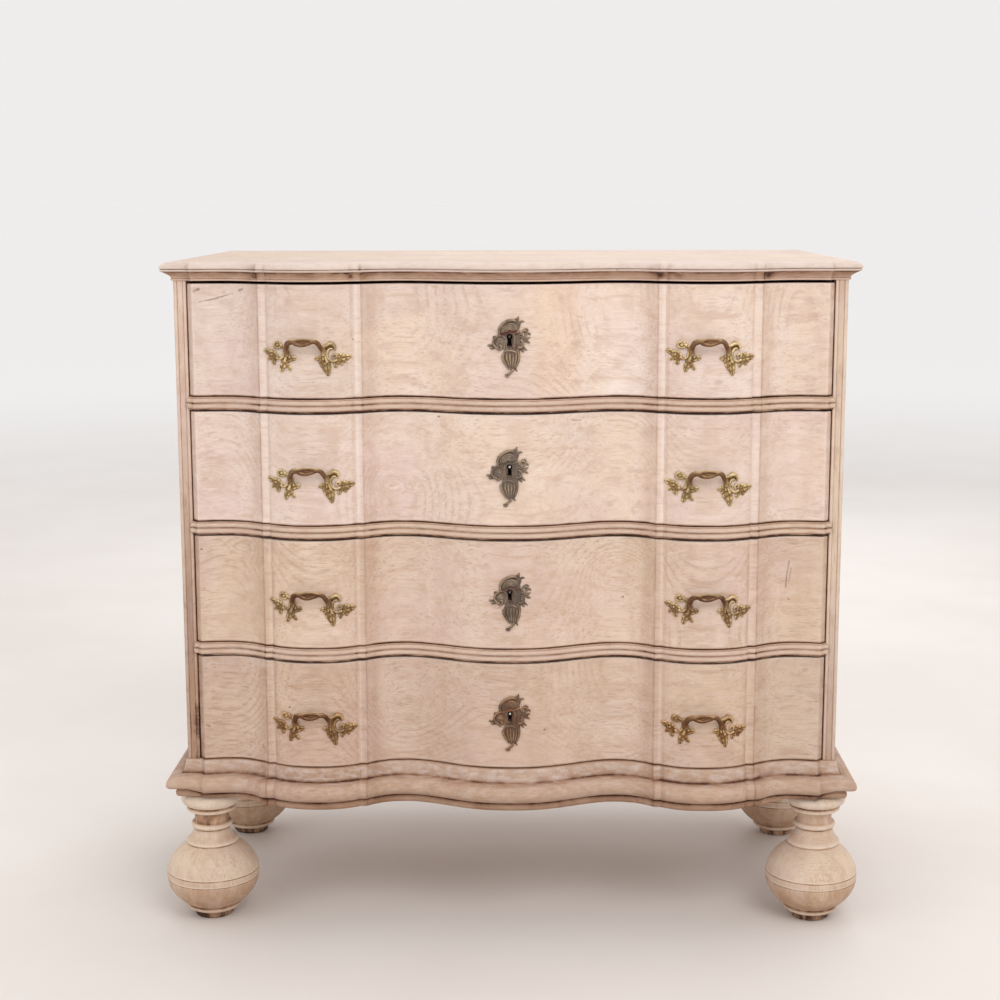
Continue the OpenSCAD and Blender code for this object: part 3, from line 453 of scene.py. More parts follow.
M['foot'] = wood('bleached_oak_foot', lin(215, 195, 175), 'Z', seed=53.0, ring=0.0034, figure=0.6, pith=(-0.20, 0.51), lime=0.6, rough=0.6, zones=0.0, stain_and_shade_tint=(0.64, 0.46, 0.34))
M['inner'] = wood('drawer_lining_y', lin(176, 142, 108), 'Y', seed=61.0, ring=0.0036, figure=1.4, pith=(0.40, 0.50), rays=0.1, blotch=1.5, streak=1.3)
M['innerx'] = wood('drawer_lining_x', lin(172, 138, 104), 'X', seed=67.0, ring=0.0050, figure=1.5, pith=(-0.02, 0.40), rays=0.1, blotch=1.5, streak=1.3)
M['innerz'] = wood('back_boards_pine', lin(150, 112, 80), 'Z', seed=71.0, ring=0.0058, figure=1.5, pith=(0.30, 0.10), rays=0.0, knots=((0.62, -0.31, 0.013), (0.93, 0.14, 0.011), (0.44, 0.40, 0.012)))
# per-drawer factors for the castings: darker on the lower drawers as painted shade; the last drawer's also more orange,
# the metal's own tint
BRASS = [(1.02, 1.0, 1.02), (1.0, 1.0, 1.0), (0.80, 0.75, 0.76), (0.80, 0.66, 0.60)]
BRONZE = [(0.86, 0.86, 0.84), (0.88, 0.90, 0.90), (0.76, 0.76, 0.75), (0.80, 0.66, 0.54)]
x3 = lambda col, f: tuple(a*b for a, b in zip(col, f))
for i in range(4):
    f = BRASS[i]
    M['brass%d' % i] = metal('patinated_brass_%d' % (i + 1), x3(lin(62, 42, 24), f), x3(lin(150, 122, 78), f), x3(lin(226, 204, 156), f), rough=0.46, metallic=0.58, patch=1.15,
                             verd=x3(lin(118, 104, 74), f), rust=x3(lin(118, 74, 38), f), rusty=[0.45, 0.40, 0.55, 0.75][i], bar=x3(lin(100, 60, 36), f))
    f = BRONZE[i]
    M['bronze%d' % i] = metal('dark_bronze_%d' % (i + 1), x3(lin(62, 50, 43), f), x3(lin(128, 113, 101), f), x3(lin(174, 148, 118), f), rough=0.48, metallic=0.50, patch=1.6,
                              rust=x3(lin(112, 70, 54), f), rusty=[0.40, 0.20, 0.35, 0.60][i], bar=[lin(80, 31, 27), x3(lin(84, 70, 60), f), lin(84, 52, 44), lin(110, 66, 44)][i])
M['iron'] = metal('forged_iron', lin(38, 34, 32), lin(78, 72, 68), lin(118, 110, 104), rough=0.5, metallic=0.85, pin=-9.0)
for i in range(4):
    M['lock%d' % i] = metal('lock_iron_%d' % (i + 1), lin(38, 34, 32), lin(78, 72, 68), lin(118, 110, 104), rough=0.5, metallic=0.85, pin=KEY[i]*0.001, bright=[0.05, 1.0, 0.15, 1.0][i])

# ---------------------------------------------------------------- top
def perim(step=22.0):
    xs = stations(AE + 1)
    ys = np.linspace(YF, TOPB, 26)[1:]
    p = [(-HC, y) for y in ys[::-1]] + [(-HC, YF)] + [(x, YF + q) for x, q in zip(xs, sy(xs))] + [(HC, YF)] + [(HC, y) for y in ys]
    d = [(-1, 0)]*len(ys) + [(-1, -1)] + [(0, -1)]*len(xs) + [(1, -1)] + [(1, 0)]*len(ys)
    return np.array(p, float), np.array(d, float)


def top_board():
    P, Dv = perim()
    sec = [(-10, 1075.5), (13, 1075.5), (15, 1075.55), (16.3, 1075.9), (17.2, 1076.7), (17.5, 1077.7), (17.3, 1078.6), (16.6, 1079.2), (15.9, 1079.5),
           (16.1, 1079.8), (17.6, 1080.0), (18.2, 1080.6), (18.5, 1081.5), (18.4, 1082.7), (17.9, 1084.0), (17.0, 1085.4), (15.6, 1086.8),
           (13.9, 1088.0), (11.8, 1089.0), (9.2, 1089.9), (6.2, 1090.5), (2.5, 1090.88), (-2, 1091), (-10, 1091)]
    n, m = len(P), len(sec)
    V = np.zeros((n, m, 3))
    for j, (o, z) in enumerate(sec):
        V[:, j, :2] = P + Dv*o
        V[:, j, 2] = z
    wob = 0.35*np.sin(P[:, 0]*0.021 + 1.0) + 0.3*np.sin(P[:, 0]*0.047 + P[:, 1]*0.03)
    for j in range(11, 20):      # the worn edge isn't dead straight
        V[:, j, :2] -= Dv*np.maximum(wob, 0)[:, None]*0.8
        V[:, j, 2] -= np.maximum(wob, 0)*0.25
    F = []
    for i in range(n - 1):
        for j in range(m - 1):
            F.append((i*m + j, (i + 1)*m + j, (i + 1)*m + j + 1, i*m + j + 1))
    F.append(tuple(i*m + m - 1 for i in range(n)))
    F.append(tuple(i*m for i in range(n - 1, -1, -1)))
    F.append(tuple([j for j in range(m)] + [(n - 1)*m + j for j in range(m - 1, -1, -1)]))
    # along the section: grime and painted shade under the thumb and in its quirk; the rounded thumb edge pale as a worn
    # edge with a painted highlight
    sd = [0.5, .35, .2, .1, 0, 0, .12, .45, .75, .55, .10, 0, 0, 0, 0, 0, 0, 0, 0, 0, 0, 0, 0, 0]
    sw = [0, 0, 0, .2, .5, .6, .4, 0, 0, .1, .6, .9, .9, .8, .7, .65, .65, .65, .65, .6, .5, .35, .1, 0]
    V = V.reshape(-1, 3)
    dx, wx = crowd(V[:, 0])
    edge = tile([0]*6 + [1.0, 1.2, 1.4, 1.4, 1.3, 1.2, 1.1, 1.0, .9, .8, .6, .4, .3, .2, .1, 0, 0, 0], n)*(V[:, 1] < YF)
    nick = 0.45*np.exp(-((V[:, 0] + 398)/3.5)**2) + 0.5*np.exp(-((V[:, 0] + 232)/2.5)**2) + 0.4*np.exp(-((V[:, 0] - 236)/3)**2) + 0.4*np.exp(-((V[:, 0] - 402)/3)**2)
    return mk('top_board_moulded', V, F, M['top'], 'case', ['top_board'], angle=38,
              attrs={'dirt_and_shade': tile(sd, n) + edge*(dx*0.8 + 0.25*nick), 'wear_and_highlight': tile(sw, n), 'lime': tile([0.2]*m, n)})


top_board()

cs = [(0, 1061.0, 1), (0.4, 1061.0), (1.9, 1061.2), (2.8, 1062.0), (3.1, 1063.0), (2.8, 1064.0), (2.2, 1064.6)]
cs += [(2.3 + 12.4*(1 - math.cos(math.pi/2*t)), 1064.9 + 10.4*t) for t in np.linspace(0.03, 1.0, 14)]
cs += [(14.9, 1075.5), (0, 1075.5, 1)]
# along the section: darker up the cove under the thumb as painted shade with grime; the small bead at its foot pale as
# a worn edge with a painted highlight
cd = [0.6, 0.5, 0.1, 0, 0, .2, .6] + list(np.linspace(0.12, 0.44, 11)) + [0.6, 0.8, 0.85] + [0.85, 0.85]
cw = [0, 0.2, 0.8, 0.9, 0.8, .3, 0] + list(np.linspace(0.1, 0.0, 14)) + [0, 0]
P, Dv = front_path()
V, F = sweep(P, Dv, cs, back=lambda x: RAIL_BACK if abs(x) < 511 else YF + 0.6)
dx, wx = crowd(V[:, 0])
spot = sum(k_*np.exp(-((V[:, 0] - c_)/w_)**2) for c_, w_, k_ in ((-399, 7, .7), (-300, 22, .35), (-247, 6, 1.2), (-228, 9, .8), (236, 7, .8), (262, 9, .5), (404, 9, .8), (452, 20, .4)))
COVE = mk('top_cove_front', V, F, M['cove'], 'case', ['top_rail_cove'], angle=38,
   attrs={'dirt_and_shade': np.clip(tile(cd, len(P))*(1 - 0.6*np.clip(wx, 0, 1)) + dx*0.9 + tile([0]*8 + [.5]*len(cs[8:]), len(P))*spot, 0, 1), 'wear_and_highlight': np.clip(tile(cw, len(P)) + 0.6*wx, 0, 1), 'lime': tile([0.3]*len(cs), len(P))})


def side_run(name, sec, mat, node, ds, ws, ls, y_end, warp=None):
    Vs, Fs, n0 = [], [], 0
    A = {'dirt_and_shade': [], 'wear_and_highlight': [], 'lime': []}
    for s in (-1, 1):
        ys = np.linspace(YF, y_end, 30)
        if warp:
            ys = np.unique(np.concatenate([ys, YF + np.array([80, 86, 382, 388, 487, 493.0])]))
        p = np.array([(s*HC, y) for y in ys]); d = np.array([(s, -1)] + [(s, 0)]*(len(ys) - 1), float)
        V, F = sweep(p, d, sec)
        if warp:
            warp(V, np.repeat(ys, len(sec)))
        V[:, 0] = np.where(np.abs(V[:, 0]) < HC - 1e-6, s*(HC - 0.2), V[:, 0])
        Vs.append(V); Fs += [tuple(v + n0 for v in f) for f in F]; n0 += len(V)
        for k, q in zip(A, (ds, ws, ls)):
            A[k].append(tile(q, len(p)))
    return mk(name, np.vstack(Vs), Fs, mat, 'case', [node], angle=38, attrs={k: np.concatenate(v) for k, v in A.items()})


cs2 = [(-0.2, 1061.0)] + cs[1:-1] + [(-0.2, 1075.5)]
side_run('top_cove_sides', cs2, M['mouldy'], 'top_moulding_sides', cd, cw, [0.3]*len(cs2), YB)

# ---------------------------------------------------------------- stiles
def stiles():
    # section across the front face, from the inside edge out: inner bead, flat, small bead, outer bead
    def prof():
        pts = [(XI, 0.9, .5, 0)]
        def bead(x0, x1, h, q):
            c, r = (x0 + x1)/2, (x1 - x0)/2
            return [(c + r*math.cos(math.pi*(1 - t)), q - h*math.sin(math.pi*t), 0.15 if 0 < t < 1 else .8, 0.75*math.sin(math.pi*t)) for t in np.linspace(0, 1, 9)]
        pts += bead(XI + 0.3, XI + 4.6, 0.7, 0.8)
        pts += [(XI + 5.1, 1.0, .7, 0), (XI + 5.7, 0.4, .3, .1), (XI + 6.4, 0.1, .05, .2), (XI + 8.5, 0.0, 0, .1), (XI + 10.4, 0.0, 0, .1), (XI + 12.2, 0.05, .05, .1), (XI + 13.5, 0.35, .2, .1), (XI + 13.9, 1.1, .8, 0)]
        pts += bead(XI + 14.2, HC, 1.7, 1.7)
        return pts
    pr = prof()
    back = [(HC, 45, 0, 0), (XI, 45, .4, 0)]
    allp = pr + back
    zs = np.unique(np.round(np.concatenate([np.linspace(241, 1075.5, 48)] + [[z - 21, z, z - 10.5] for z in ZBOT[:3]]), 3))
    for s, nm in ((-1, 'left'), (1, 'right')):
        n, m = len(zs), len(allp)
        V = np.zeros((n, m, 3))
        for j, (x, dyy, _, _) in enumerate(allp):
            V[:, j, 0] = s*x; V[:, j, 1] = YF + dyy; V[:, j, 2] = zs
        F = []
        for i in range(n - 1):
            for j in range(m):
                k = (j + 1) % m
                F.append((i*m + j, (i + 1)*m + j, (i + 1)*m + k, i*m + k))
        F += [tuple(range(m)), tuple((n - 1)*m + j for j in range(m - 1, -1, -1))]
        d = tile([q[2] for q in allp], n); w = tile([q[3] for q in allp], n)
        z = V.reshape(-1, 3)[:, 2]
        # painted shade with grime just above the base moulding; streaks darker towards the bottom, on the left stile
        # also along its inner edge; the beads' quirks dark and crowns pale, grime and worn edges with painted light
        foot = np.exp(-((z - 277)/9)**2)
        inner = np.clip((HC - 3.5 - np.abs(V.reshape(-1, 3)[:, 0]))/9, 0, 1)
        streak = (tile(rng.random(m)**1.5, n)*(0.50 if s < 0 else 0.22) + (0.48 if s < 0 else 0.0)*inner)*np.clip((540 - z)/200, 0, 1)
        mk('stile_%s_beaded' % nm, V.reshape(-1, 3), F, M['stile_' + nm], 'case', ['stile_' + nm], angle=40,
           attrs={'dirt_and_shade': np.clip((0.45 if s < 0 else 0.30)*d + 0.30*foot + streak, 0, 1), 'wear_and_highlight': w*0.8, 'lime': np.full(len(d), 0.30)})


stiles()

# ---------------------------------------------------------------- rails
def rail(j):
    z0 = ZBOT[j] - 21
    sec = [(0, 0.0, 1), (0.6, 0.0), (1.7, 0.25), (2.0, 0.9), (2.0, 1.7), (1.6, 2.1)]
    def bead(za, zb, o0, h):
        return [(o0 + h*math.sin(math.pi*t)**0.85, (za + zb)/2 - (zb - za)/2*math.cos(math.pi*t)) for t in np.linspace(0.02, 0.98, 11)]
    sec += bead(2.2, 10.1, 1.7, 3.0)
    sec += [(1.75, 10.4), (1.6, 11.0), (1.75, 11.6)]
    sec += bead(11.9, 18.9, 1.6, 3.0)
    sec += [(1.5, 19.1), (2.1, 19.5), (2.1, 20.4), (1.5, 20.9), (0.6, 21.0), (0, 21.0, 1)]
    m = len(sec)
    # along the section: the lower fillet and top edge dark beside the gaps, painted shade with grime; the beads' crowns
    # pale, worn edges with a painted highlight
    d = [1, 1, .95, .9, .8, .6] + [.45, .36, .25, .15, .06, 0, 0, .05, .10, .2, .35] + [.42, .48, .40] + [.22, .1, 0, 0, 0, 0, 0, .0, .05, .1, .15] + [.22, .2, .25, .4, .6, .7]
    w = [0, 0, .2, .3, .1, 0] + [0, .1, .3, .5, .65, .6, .5, .35, .2, .1, 0] + [0, 0, 0] + [0, .1, .3, .5, .65, .65, .55, .4, .2, .1, 0] + [0, .4, .5, .5, .2, 0]
    gr = [0]*14 + [.4, .8, 1, 1, 1, 1, 1, .8, .5, .3] + [0]*(m - 24)
    sec = [(q[0], q[1] + z0) + tuple(q[2:]) for q in sec]
    P, Dv = front_path(e=XI + 0.0, mitre=False)
    P = np.vstack([P[:1], P[:1], P[1:-1], P[-1:], P[-1:]]); Dv = np.vstack([Dv[:1], Dv[:1], Dv[1:-1], Dv[-1:], Dv[-1:]])
    V, F = sweep(P, Dv, sec, back=lambda x: RAIL_BACK)
    V = V.reshape(len(P), m, 3)
    for s, i in ((-1, 0), (1, len(P) - 1)):       # pointed ends mitred into the stile's inner bead
        for q in range(1, m - 1):
            f = 1 - abs(2*(sec[q][1] - z0)/21 - 1)
            V[i, q, 0] = s*(XI + 0.1 + 4.9*f)
        V[i, 0, 0] = V[i, m - 1, 0] = s*(XI + 0.05)
    V = V.reshape(-1, 3)
    dx, wx = crowd(V[:, 0])
    o = mk(['rail_upper', 'rail_middle', 'rail_lower'][j] + '_beaded', V, F, M['mould'], 'case',
              [['rail_upper', 'rail_middle', 'rail_lower'][j]], angle=40,
              attrs={'dirt_and_shade': np.clip(tile(d, len(P)) + dx*(0.40 + 1.3*tile(gr, len(P))), 0, 1), 'wear_and_highlight': np.clip(tile(w, len(P)) + 0.3*wx, 0, 1),
                     'lime': np.clip(0.3 + 0.7*tile(gr, len(P)) + 0.5*wx, 0, 1)})
    RAILS.append((o, z0))


RAILS = []
for j in range(3):
    rail(j)

# ---------------------------------------------------------------- base moulding
bsec = [(11.0, 213.0), (13.5, 213.2), (15.6, 214.2), (17.1, 216.0), (18.1, 218.5), (18.4, 221.0), (18.0, 223.6), (16.9, 225.4), (15.9, 226.2),
        (16.4, 226.9), (18.6, 227.3), (21.5, 227.9), (24.6, 229.0), (27.4, 230.9), (29.6, 233.6), (31.1, 237.0), (31.75, 240.8), (31.6, 244.6), (30.6, 248.2),
        (28.8, 251.4), (26.2, 254.0), (22.8, 255.6), (19.0, 256.2), (15.0, 256.5), (11.4, 256.7), (9.2, 257.0), (8.2, 257.8), (7.6, 259.2),
        (6.6, 261.5), (5.3, 265.0), (4.2, 269.0), (3.5, 273.0), (3.0, 276.5), (2.4, 278.4), (1.0, 279.0)]
# along the section: dark under the roll, in the quirk above it and at the step, painted shade with grime; the roll's
# front pale, worn with a painted highlight
bd = [.75, .55, .42, .36, .34, .36, .48, .85, 1, .85, .45, .32, .25, .18, .12, .08, .04, 0, 0, 0, 0, .05, .12, .25, .45, .85, .8, .45, .25, .15, .1, .08, .05, .15, .4]
bw = [0, .2, .35, .4, .4, .3, .1, 0, 0, 0, 0, .1, .2, .3, .4, .5, .5, .4, .3, .25, .2, .1, 0, 0, 0, 0, 0, 0, 0, 0, .1, .15, .4, .6, .3]
bl = [0]*9 + [.2]*3 + [.3]*10 + [.7, .9, 1, 1, 1, 1, 1, .9, .8, .8, .7, .5, .3]
P, Dv = front_path()
P = np.vstack([P[:1], [(-530, YF), (-511.5, YF)], P[1:-1], [(511.5, YF), (530, YF)], P[-1:]])
Dv = np.vstack([Dv[:1], [(0, -1)]*2, Dv[1:-1], [(0, -1)]*2, Dv[-1:]])
sec = [(0, 213.0, 1)] + bsec + [(0, 279.0, 1)]


def seat(V, thin, over):
    """The roll is slimmer at the corners (thin, 0 to 1) and the strip under it is let in over the feet (over, 0 to 1)."""
    z = V[:, 2].copy()
    T = 226.2 + 5.9*thin; B = 213 + 5*over
    V[:, 2] = np.where(z < 226.2, B + (z - 213)*(T - B)/13.2, np.where(z < 241, 241 - (241 - z)*(241 - T)/14.8, z))


def side_seat(V, y):
    f = sum(np.clip((57 - np.abs(y - c))/5.5, 0, 1) for c in (YF + 30.8, YF + 437.7))
    seat(V, 1.0, np.clip(f, 0, 1))


V, F = sweep(P, Dv, sec, back=lambda x: YF + 24 if abs(x) < 511 else YF + 0.6)
V = V.reshape(len(P), len(sec), 3)
for j, q in enumerate(bsec):
    sh = 9.0*min(1.0, max(0.0, (q[0] - 7.0)/14.0))
    if sh > 0:
        for i, (px, py) in enumerate(P):
            a_ = abs(px)
            if 394.0 <= a_ < 455.0:
                tt = min(1.0, max(0.0, (455.0 - a_)/(61.0 - sh)))
                V[i, j + 1, 1] = YF - (27.5 if tt >= 1 else 2 + 25.5*tt**2.4) - q[0]
V = V.reshape(-1, 3)
pa = np.repeat(np.abs(P[:, 0]), len(sec))
seat(V, np.clip((pa - 509)/21, 0, 1), np.clip((pa - 441)/6, 0, 1))
dx, wx = crowd(V[:, 0])
ax = np.abs(V[:, 0])
low = tile([1.0]*9 + [0.0]*(len(sec) - 9), len(P))*np.clip((ax - 509)/5, 0, 1)
# qk: a dark line in the quirk above the roll in the hollows; ck: darker towards the corners; the pale fascia band is
# weaker in the hollows and more on the left: painted light
qk = np.clip((ax - 205)/40, 0, 1)*np.clip((420 - ax)/30, 0, 1)
ck = np.clip((ax - 445)/35, 0, 1)
mk('base_moulding_front_carved', V, F, M['base'], 'case', ['base_moulding_front'], angle=40,
   attrs={'dirt_and_shade': np.clip(tile([.5] + bd + [.5], len(P))*(1 - 0.5*low) + dx*0.7 + 0.26*qk*tile([0]*25 + [.3, .9, 1, .3] + [0]*8, len(P)) + 0.5*ck*(1 - low)*tile([.6]*10 + [0]*27, len(P)), 0, 1),
          'wear_and_highlight': np.clip(tile([0] + bw + [0], len(P)) + wx*0.3 + 0.85*(1 - 0.65*qk - 0.35*qk*(V[:, 0] < 0))*tile([0]*28 + [.7, 1, 1, 1, 1, 1] + [0]*3, len(P)), 0, 1), 'lime': tile([0] + bl + [0], len(P))})
side_run('base_moulding_sides_carved', [(-0.2, 213.0)] + bsec + [(-0.2, 279.0)], M['basey'], 'base_moulding_sides', [.5] + bd + [.5], [0] + bw + [0], [0] + bl + [0], YB, warp=side_seat)

# ---------------------------------------------------------------- feet
def foot(nm, s, r):
    cx, cy = s*500.7, YF + 30.8 + 406.9*r
    ell = lambda a, h: (76.5*math.cos(math.radians(a)), 73 + h*math.sin(math.radians(a)))
    # per ring (radius, height, darkening, lightening): the lower ball darkens towards the bottom and the top roll
    # underneath, painted shade with grime; pale rims and the roll's front, worn edges with a painted highlight
    p = [(0.01, 0, .9, 0), (27.0, 0, .9, 0), (30.0, 0.5, .9, 0), (31.1, 2, .85, 0), (31.4, 5.4, .8, 0), (31.4, 8.2, .85, 0), (32.4, 9.6, .7, 0), (35.2, 11.2, .5, 0), (38.8, 12.6, .35, .1), (41.9, 14.2, .2, .4), (43.7, 15.8, .1, .6),
         (44.2, 17.6, .05, .6), (43.6, 19.2, .25, .3), (41.6, 20.6, .7, 0), (41.2, 21.2, .75, 0), (41.9, 21.6, .5, 0)]
    p += [(76.5*math.cos(math.radians(a)), 73 + 61.4*math.sin(math.radians(a)), 0.30 + 0.0026*(-a - 7), 0) for a in np.linspace(-56.4, -7, 22)]
    p += [(76.4, 67.0, .25, .2), (76.1, 67.7, .35, .1), (75.0, 68.3, .62, 0), (76.0, 68.9, .3, .3), (76.45, 69.7, 0, .8), (76.5, 73, .12, .1), (76.4, 78.8, .1, .3), (76.1, 79.8, .35, .1), (75.0, 80.5, .62, 0), (76.0, 81.1, .3, .3), (76.2, 82.0, 0, .8)]
    p += [(*ell(a, 63), 0, 0.05) for a in np.linspace(10.5, 56.4, 22)]
    p += [(41.2, 126.2, .45, 0), (40.7, 126.8, .6, 0), (42.2, 127.6, .25, .4), (43.2, 128.8, .05, .7), (43.4, 129.9, 0, .8), (42.8, 131.4, 0, .6), (41.2, 132.9, .05, .3), (38.9, 134.6, .1, .1), (36.6, 136.8, .1, 0), (34.4, 139.4, .1, 0),
          (32.8, 142.0, .08, 0), (31.6, 144.8, .05, .1), (30.9, 147.8, .05, .1), (30.5, 150.4, .15, 0), (29.6, 151.8, .6, 0), (29.2, 152.5, .85, 0), (30.6, 152.9, .5, .1), (32.4, 153.9, .1, .4), (33.7, 155.4, 0, .6), (34.2, 157.6, 0, .6),
          (33.9, 159.8, 0, .5), (32.8, 161.6, .15, .3), (31.0, 162.8, .45, .05), (29.0, 163.5, .75, 0), (28.4, 165.2, .65, 0), (28.1, 168.5, .58, 0), (28.2, 173, .55, 0), (28.9, 177.0, .58, 0), (30.4, 179.9, .6, 0), (33.2, 181.5, .5, 0),
          (36.4, 182.3, .25, .2), (39.2, 183.3, 0, .6), (40.9, 184.9, 0, .8), (41.2, 186.6, .05, .7), (40.8, 188.4, .2, .3), (39.4, 190.2, .6, 0), (38.7, 191.2, .8, 0), (39.6, 191.9, .6, 0)]
    p += [(37 + 13*math.cos(math.radians(a)), 204.8 + 12.9*math.sin(math.radians(a)), .30 if a < -60 else 0, .25 + .5*max(0, math.cos(math.radians(a - 10)))) for a in np.linspace(-72, 82, 24)]
    p += [(38.2, 217.8, .8, 0), (38, 218, .9, 0), (0.01, 218, .9, 0)]
    if (s, r) == (1, 0):     # turned by eye: the upper members of this foot sit higher
        t = lambda z: min(1.0, max(0.0, (z - 114)/36))
        p = [(q[0], q[1] + 4*(t(q[1])**2*(3 - 2*t(q[1])) if q[1] < 192 else (218 - q[1])/26)) + tuple(q[2:]) for q in p]
        p = [(q[0]*(0.986 if 20 < q[1] < 124 else 1), q[1], q[2]*(0.35 if 166 < q[1] < 186 else 0.6 if 124 < q[1] < 130 else 1), q[3]) for q in p]
    K = 96
    an = np.arange(K)*2*math.pi/K
    n = len(p)
    V = np.zeros((n, K, 3))
    for i, (rr, z, _, _) in enumerate(p):
        e = 1 + (0.004*np.sin(2*an + 0.7*s + r) + 0.0025*np.sin(3*an + z*0.02))*(rr > 1)
        V[i, :, 0] = cx + rr*e*np.cos(an); V[i, :, 1] = cy + rr*e*np.sin(an); V[i, :, 2] = z
    rmax = np.hypot(V[..., 0] - cx, V[..., 1] - cy)
    sc = np.minimum(1, (75.4 if (s, r) == (1, 0) else 76.5)/np.maximum(rmax, 1e-6))
    V[..., 0] = cx + (V[..., 0] - cx)*sc; V[..., 1] = cy + (V[..., 1] - cy)*sc
    if (s, r) == (1, 0):     # and it leans a little to the right
        u = np.clip((V[..., 2] - 95)/60, 0, 1)
        V[..., 0] += 1.0 + 4.0*u*u*(3 - 2*u)
    V = V.reshape(-1, 3)
    F = []
    for i in range(n - 1):
        for k in range(K):
            k2 = (k + 1) % K
            F.append((i*K + k, i*K + k2, (i + 1)*K + k2, (i + 1)*K + k))
    F.append(tuple(range(K - 1, -1, -1))); F.append(tuple((n - 1)*K + k for k in range(K)))
    rep = lambda q: np.repeat(np.asarray(q, float), K)
    z = V[:, 2]
    lime = np.clip((z - 120)/90, 0, 1)*0.7 + 0.15
    mk('foot_%s_turned' % nm, V, F, M['foot'], 'case', ['foot_' + nm], angle=34,
       attrs={'dirt_and_shade': rep([q[2] for q in p]), 'wear_and_highlight': rep([q[3] for q in p]), 'lime': lime})


for nm, s, r in (('front_left', -1, 0), ('front_right', 1, 0), ('rear_left', -1, 1), ('rear_right', 1, 1)):
    foot(nm, s, r)


# ---------------------------------------------------------------- side panels: three glued boards each
def panels():
    y0, y1 = YF + 45, YB
    cuts = [y0, y0 + 178, y0 + 361, y1]
    for s, nm in ((-1, 'left'), (1, 'right')):
        V, F, D = [], [], []
        for k in range(3):
            a, b = cuts[k] + (0.15 if k else 0), cuts[k + 1] - (0.15 if k < 2 else 0)
            e = 0.8
            prof = [(HC - e*0.2 - 0.1, a), (HC - 0.02, a + e), (HC, a + 3), (HC, (a + b)/2), (HC, b - 3), (HC - 0.02, b - e), (HC - e*0.2 - 0.1, b), (XP, b), (XP, a)]
            dd = [.8, .3, 0, 0, 0, .3, .8, 0, 0]
            zs = np.linspace(241, 1075.5, 24)
            n, m, n0 = len(zs), len(prof), len(V)
            for z in zs:
                for (x, y) in prof:
                    V.append((s*x, y, z))
                D += dd
            for i in range(n - 1):
                for j in range(m):
                    q = (j + 1) % m
                    F.append((n0 + i*m + j, n0 + (i + 1)*m + j, n0 + (i + 1)*m + q, n0 + i*m + q))
            F += [tuple(n0 + j for j in range(m)), tuple(n0 + (n - 1)*m + j for j in range(m - 1, -1, -1))]
        V = np.array(V); z = V[:, 2]
        # dark seams between the boards; dark bands where the base moulding and the top cove meet the side, painted
        # shade with grime
        D = np.clip(np.array(D)*0.7 + 0.5*np.exp(-((z - 280)/10)**2) + 0.4*np.exp(-((z - 1060)/7)**2), 0, 1)
        mk('side_boards_' + nm, V, F, M['side'], 'case', ['side_panel_' + nm], angle=30, attrs={'dirt_and_shade': D, 'wear_and_highlight': D*0, 'lime': D*0 + 0.25})


panels()

# ---------------------------------------------------------------- drawer fronts
def box_mesh(name, a, b):
    (x0, y0, z0), (x1, y1, z1) = a, b
    V = [(x, y, z) for x in (x0, x1) for y in (y0, y1) for z in (z0, z1)]
    F = [(0, 1, 3, 2), (4, 6, 7, 5), (0, 4, 5, 1), (2, 3, 7, 6), (0, 2, 6, 4), (1, 5, 7, 3)]
    return cutter(name, V, F)


def cutter(name, V, F):
    me = bpy.data.meshes.new(name)
    me.from_pydata((np.asarray(V, float)*0.001).tolist(), [], [list(f) for f in F])
    bm = bmesh.new(); bm.from_mesh(me); bmesh.ops.recalc_face_normals(bm, faces=bm.faces); bm.to_mesh(me); bm.free()
    o = bpy.data.objects.new(name, me)
    bpy.context.scene.collection.objects.link(o)
    return o


def key_prism(name, zk, y0, y1, r=4.4, w=2.45, w2=3.6, dn=12.5):
    a0 = math.asin(w/r)
    pts = [(r*math.sin(t), r*math.cos(t)) for t in np.linspace(-math.pi + a0, math.pi - a0, 29)]
    # sides of the slot open out slightly towards the foot
    pts += [(w, -8.5), (w2, -dn), (-w2, -dn), (-w, -8.5)]
    n = len(pts)
    V = [(x, y0, zk + z) for x, z in pts] + [(x, y1, zk + z) for x, z in pts]
    F = [tuple(range(n)), tuple(range(2*n - 1, n - 1, -1))] + [(i, (i + 1) % n, n + (i + 1) % n, n + i) for i in range(n)]
    return cutter(name, V, F)


def stud_cutters(name, i):
    V, F = [], []
    K = 24
    for s in (-1, 1):
        for t in (-1, 1):
            x = s*315.0 + t*31.8
            seat = YF + float(sy(x)) + 25
            prof = [(0, YF - 80), (2.8, YF - 80), (2.8, seat), (9, seat), (9, YF + 40), (0, YF + 40)]
            n0 = len(V)
            for (r, y) in prof[1:-1]:
                for k in range(K):
                    a = 2*math.pi*k/K
                    V.append((x + r*math.cos(a), y, PULL[i] + r*math.sin(a)))
            m = 4
            for q in range(m - 1):
                for k in range(K):
                    k2 = (k + 1) % K
                    F.append((n0 + q*K + k, n0 + q*K + k2, n0 + (q + 1)*K + k2, n0 + (q + 1)*K + k))
            F.append(tuple(n0 + k for k in range(K))); F.append(tuple(n0 + (m - 1)*K + k for k in range(K - 1, -1, -1)))
    return cutter(name, V, F)


def carve(o, cutters):
    for c in cutters:
        md = o.modifiers.new('cut', 'BOOLEAN'); md.operation = 'DIFFERENCE'; md.solver = 'EXACT'; md.object = c
    dg = bpy.context.evaluated_depsgraph_get()
    me = bpy.data.meshes.new_from_object(o.evaluated_get(dg), preserve_all_data_layers=True, depsgraph=dg)
    o.modifiers.clear()
    old = o.data
    o.data = me
    bpy.data.meshes.remove(old)
    for c in cutters:
        bpy.data.objects.remove(c, do_unlink=True)


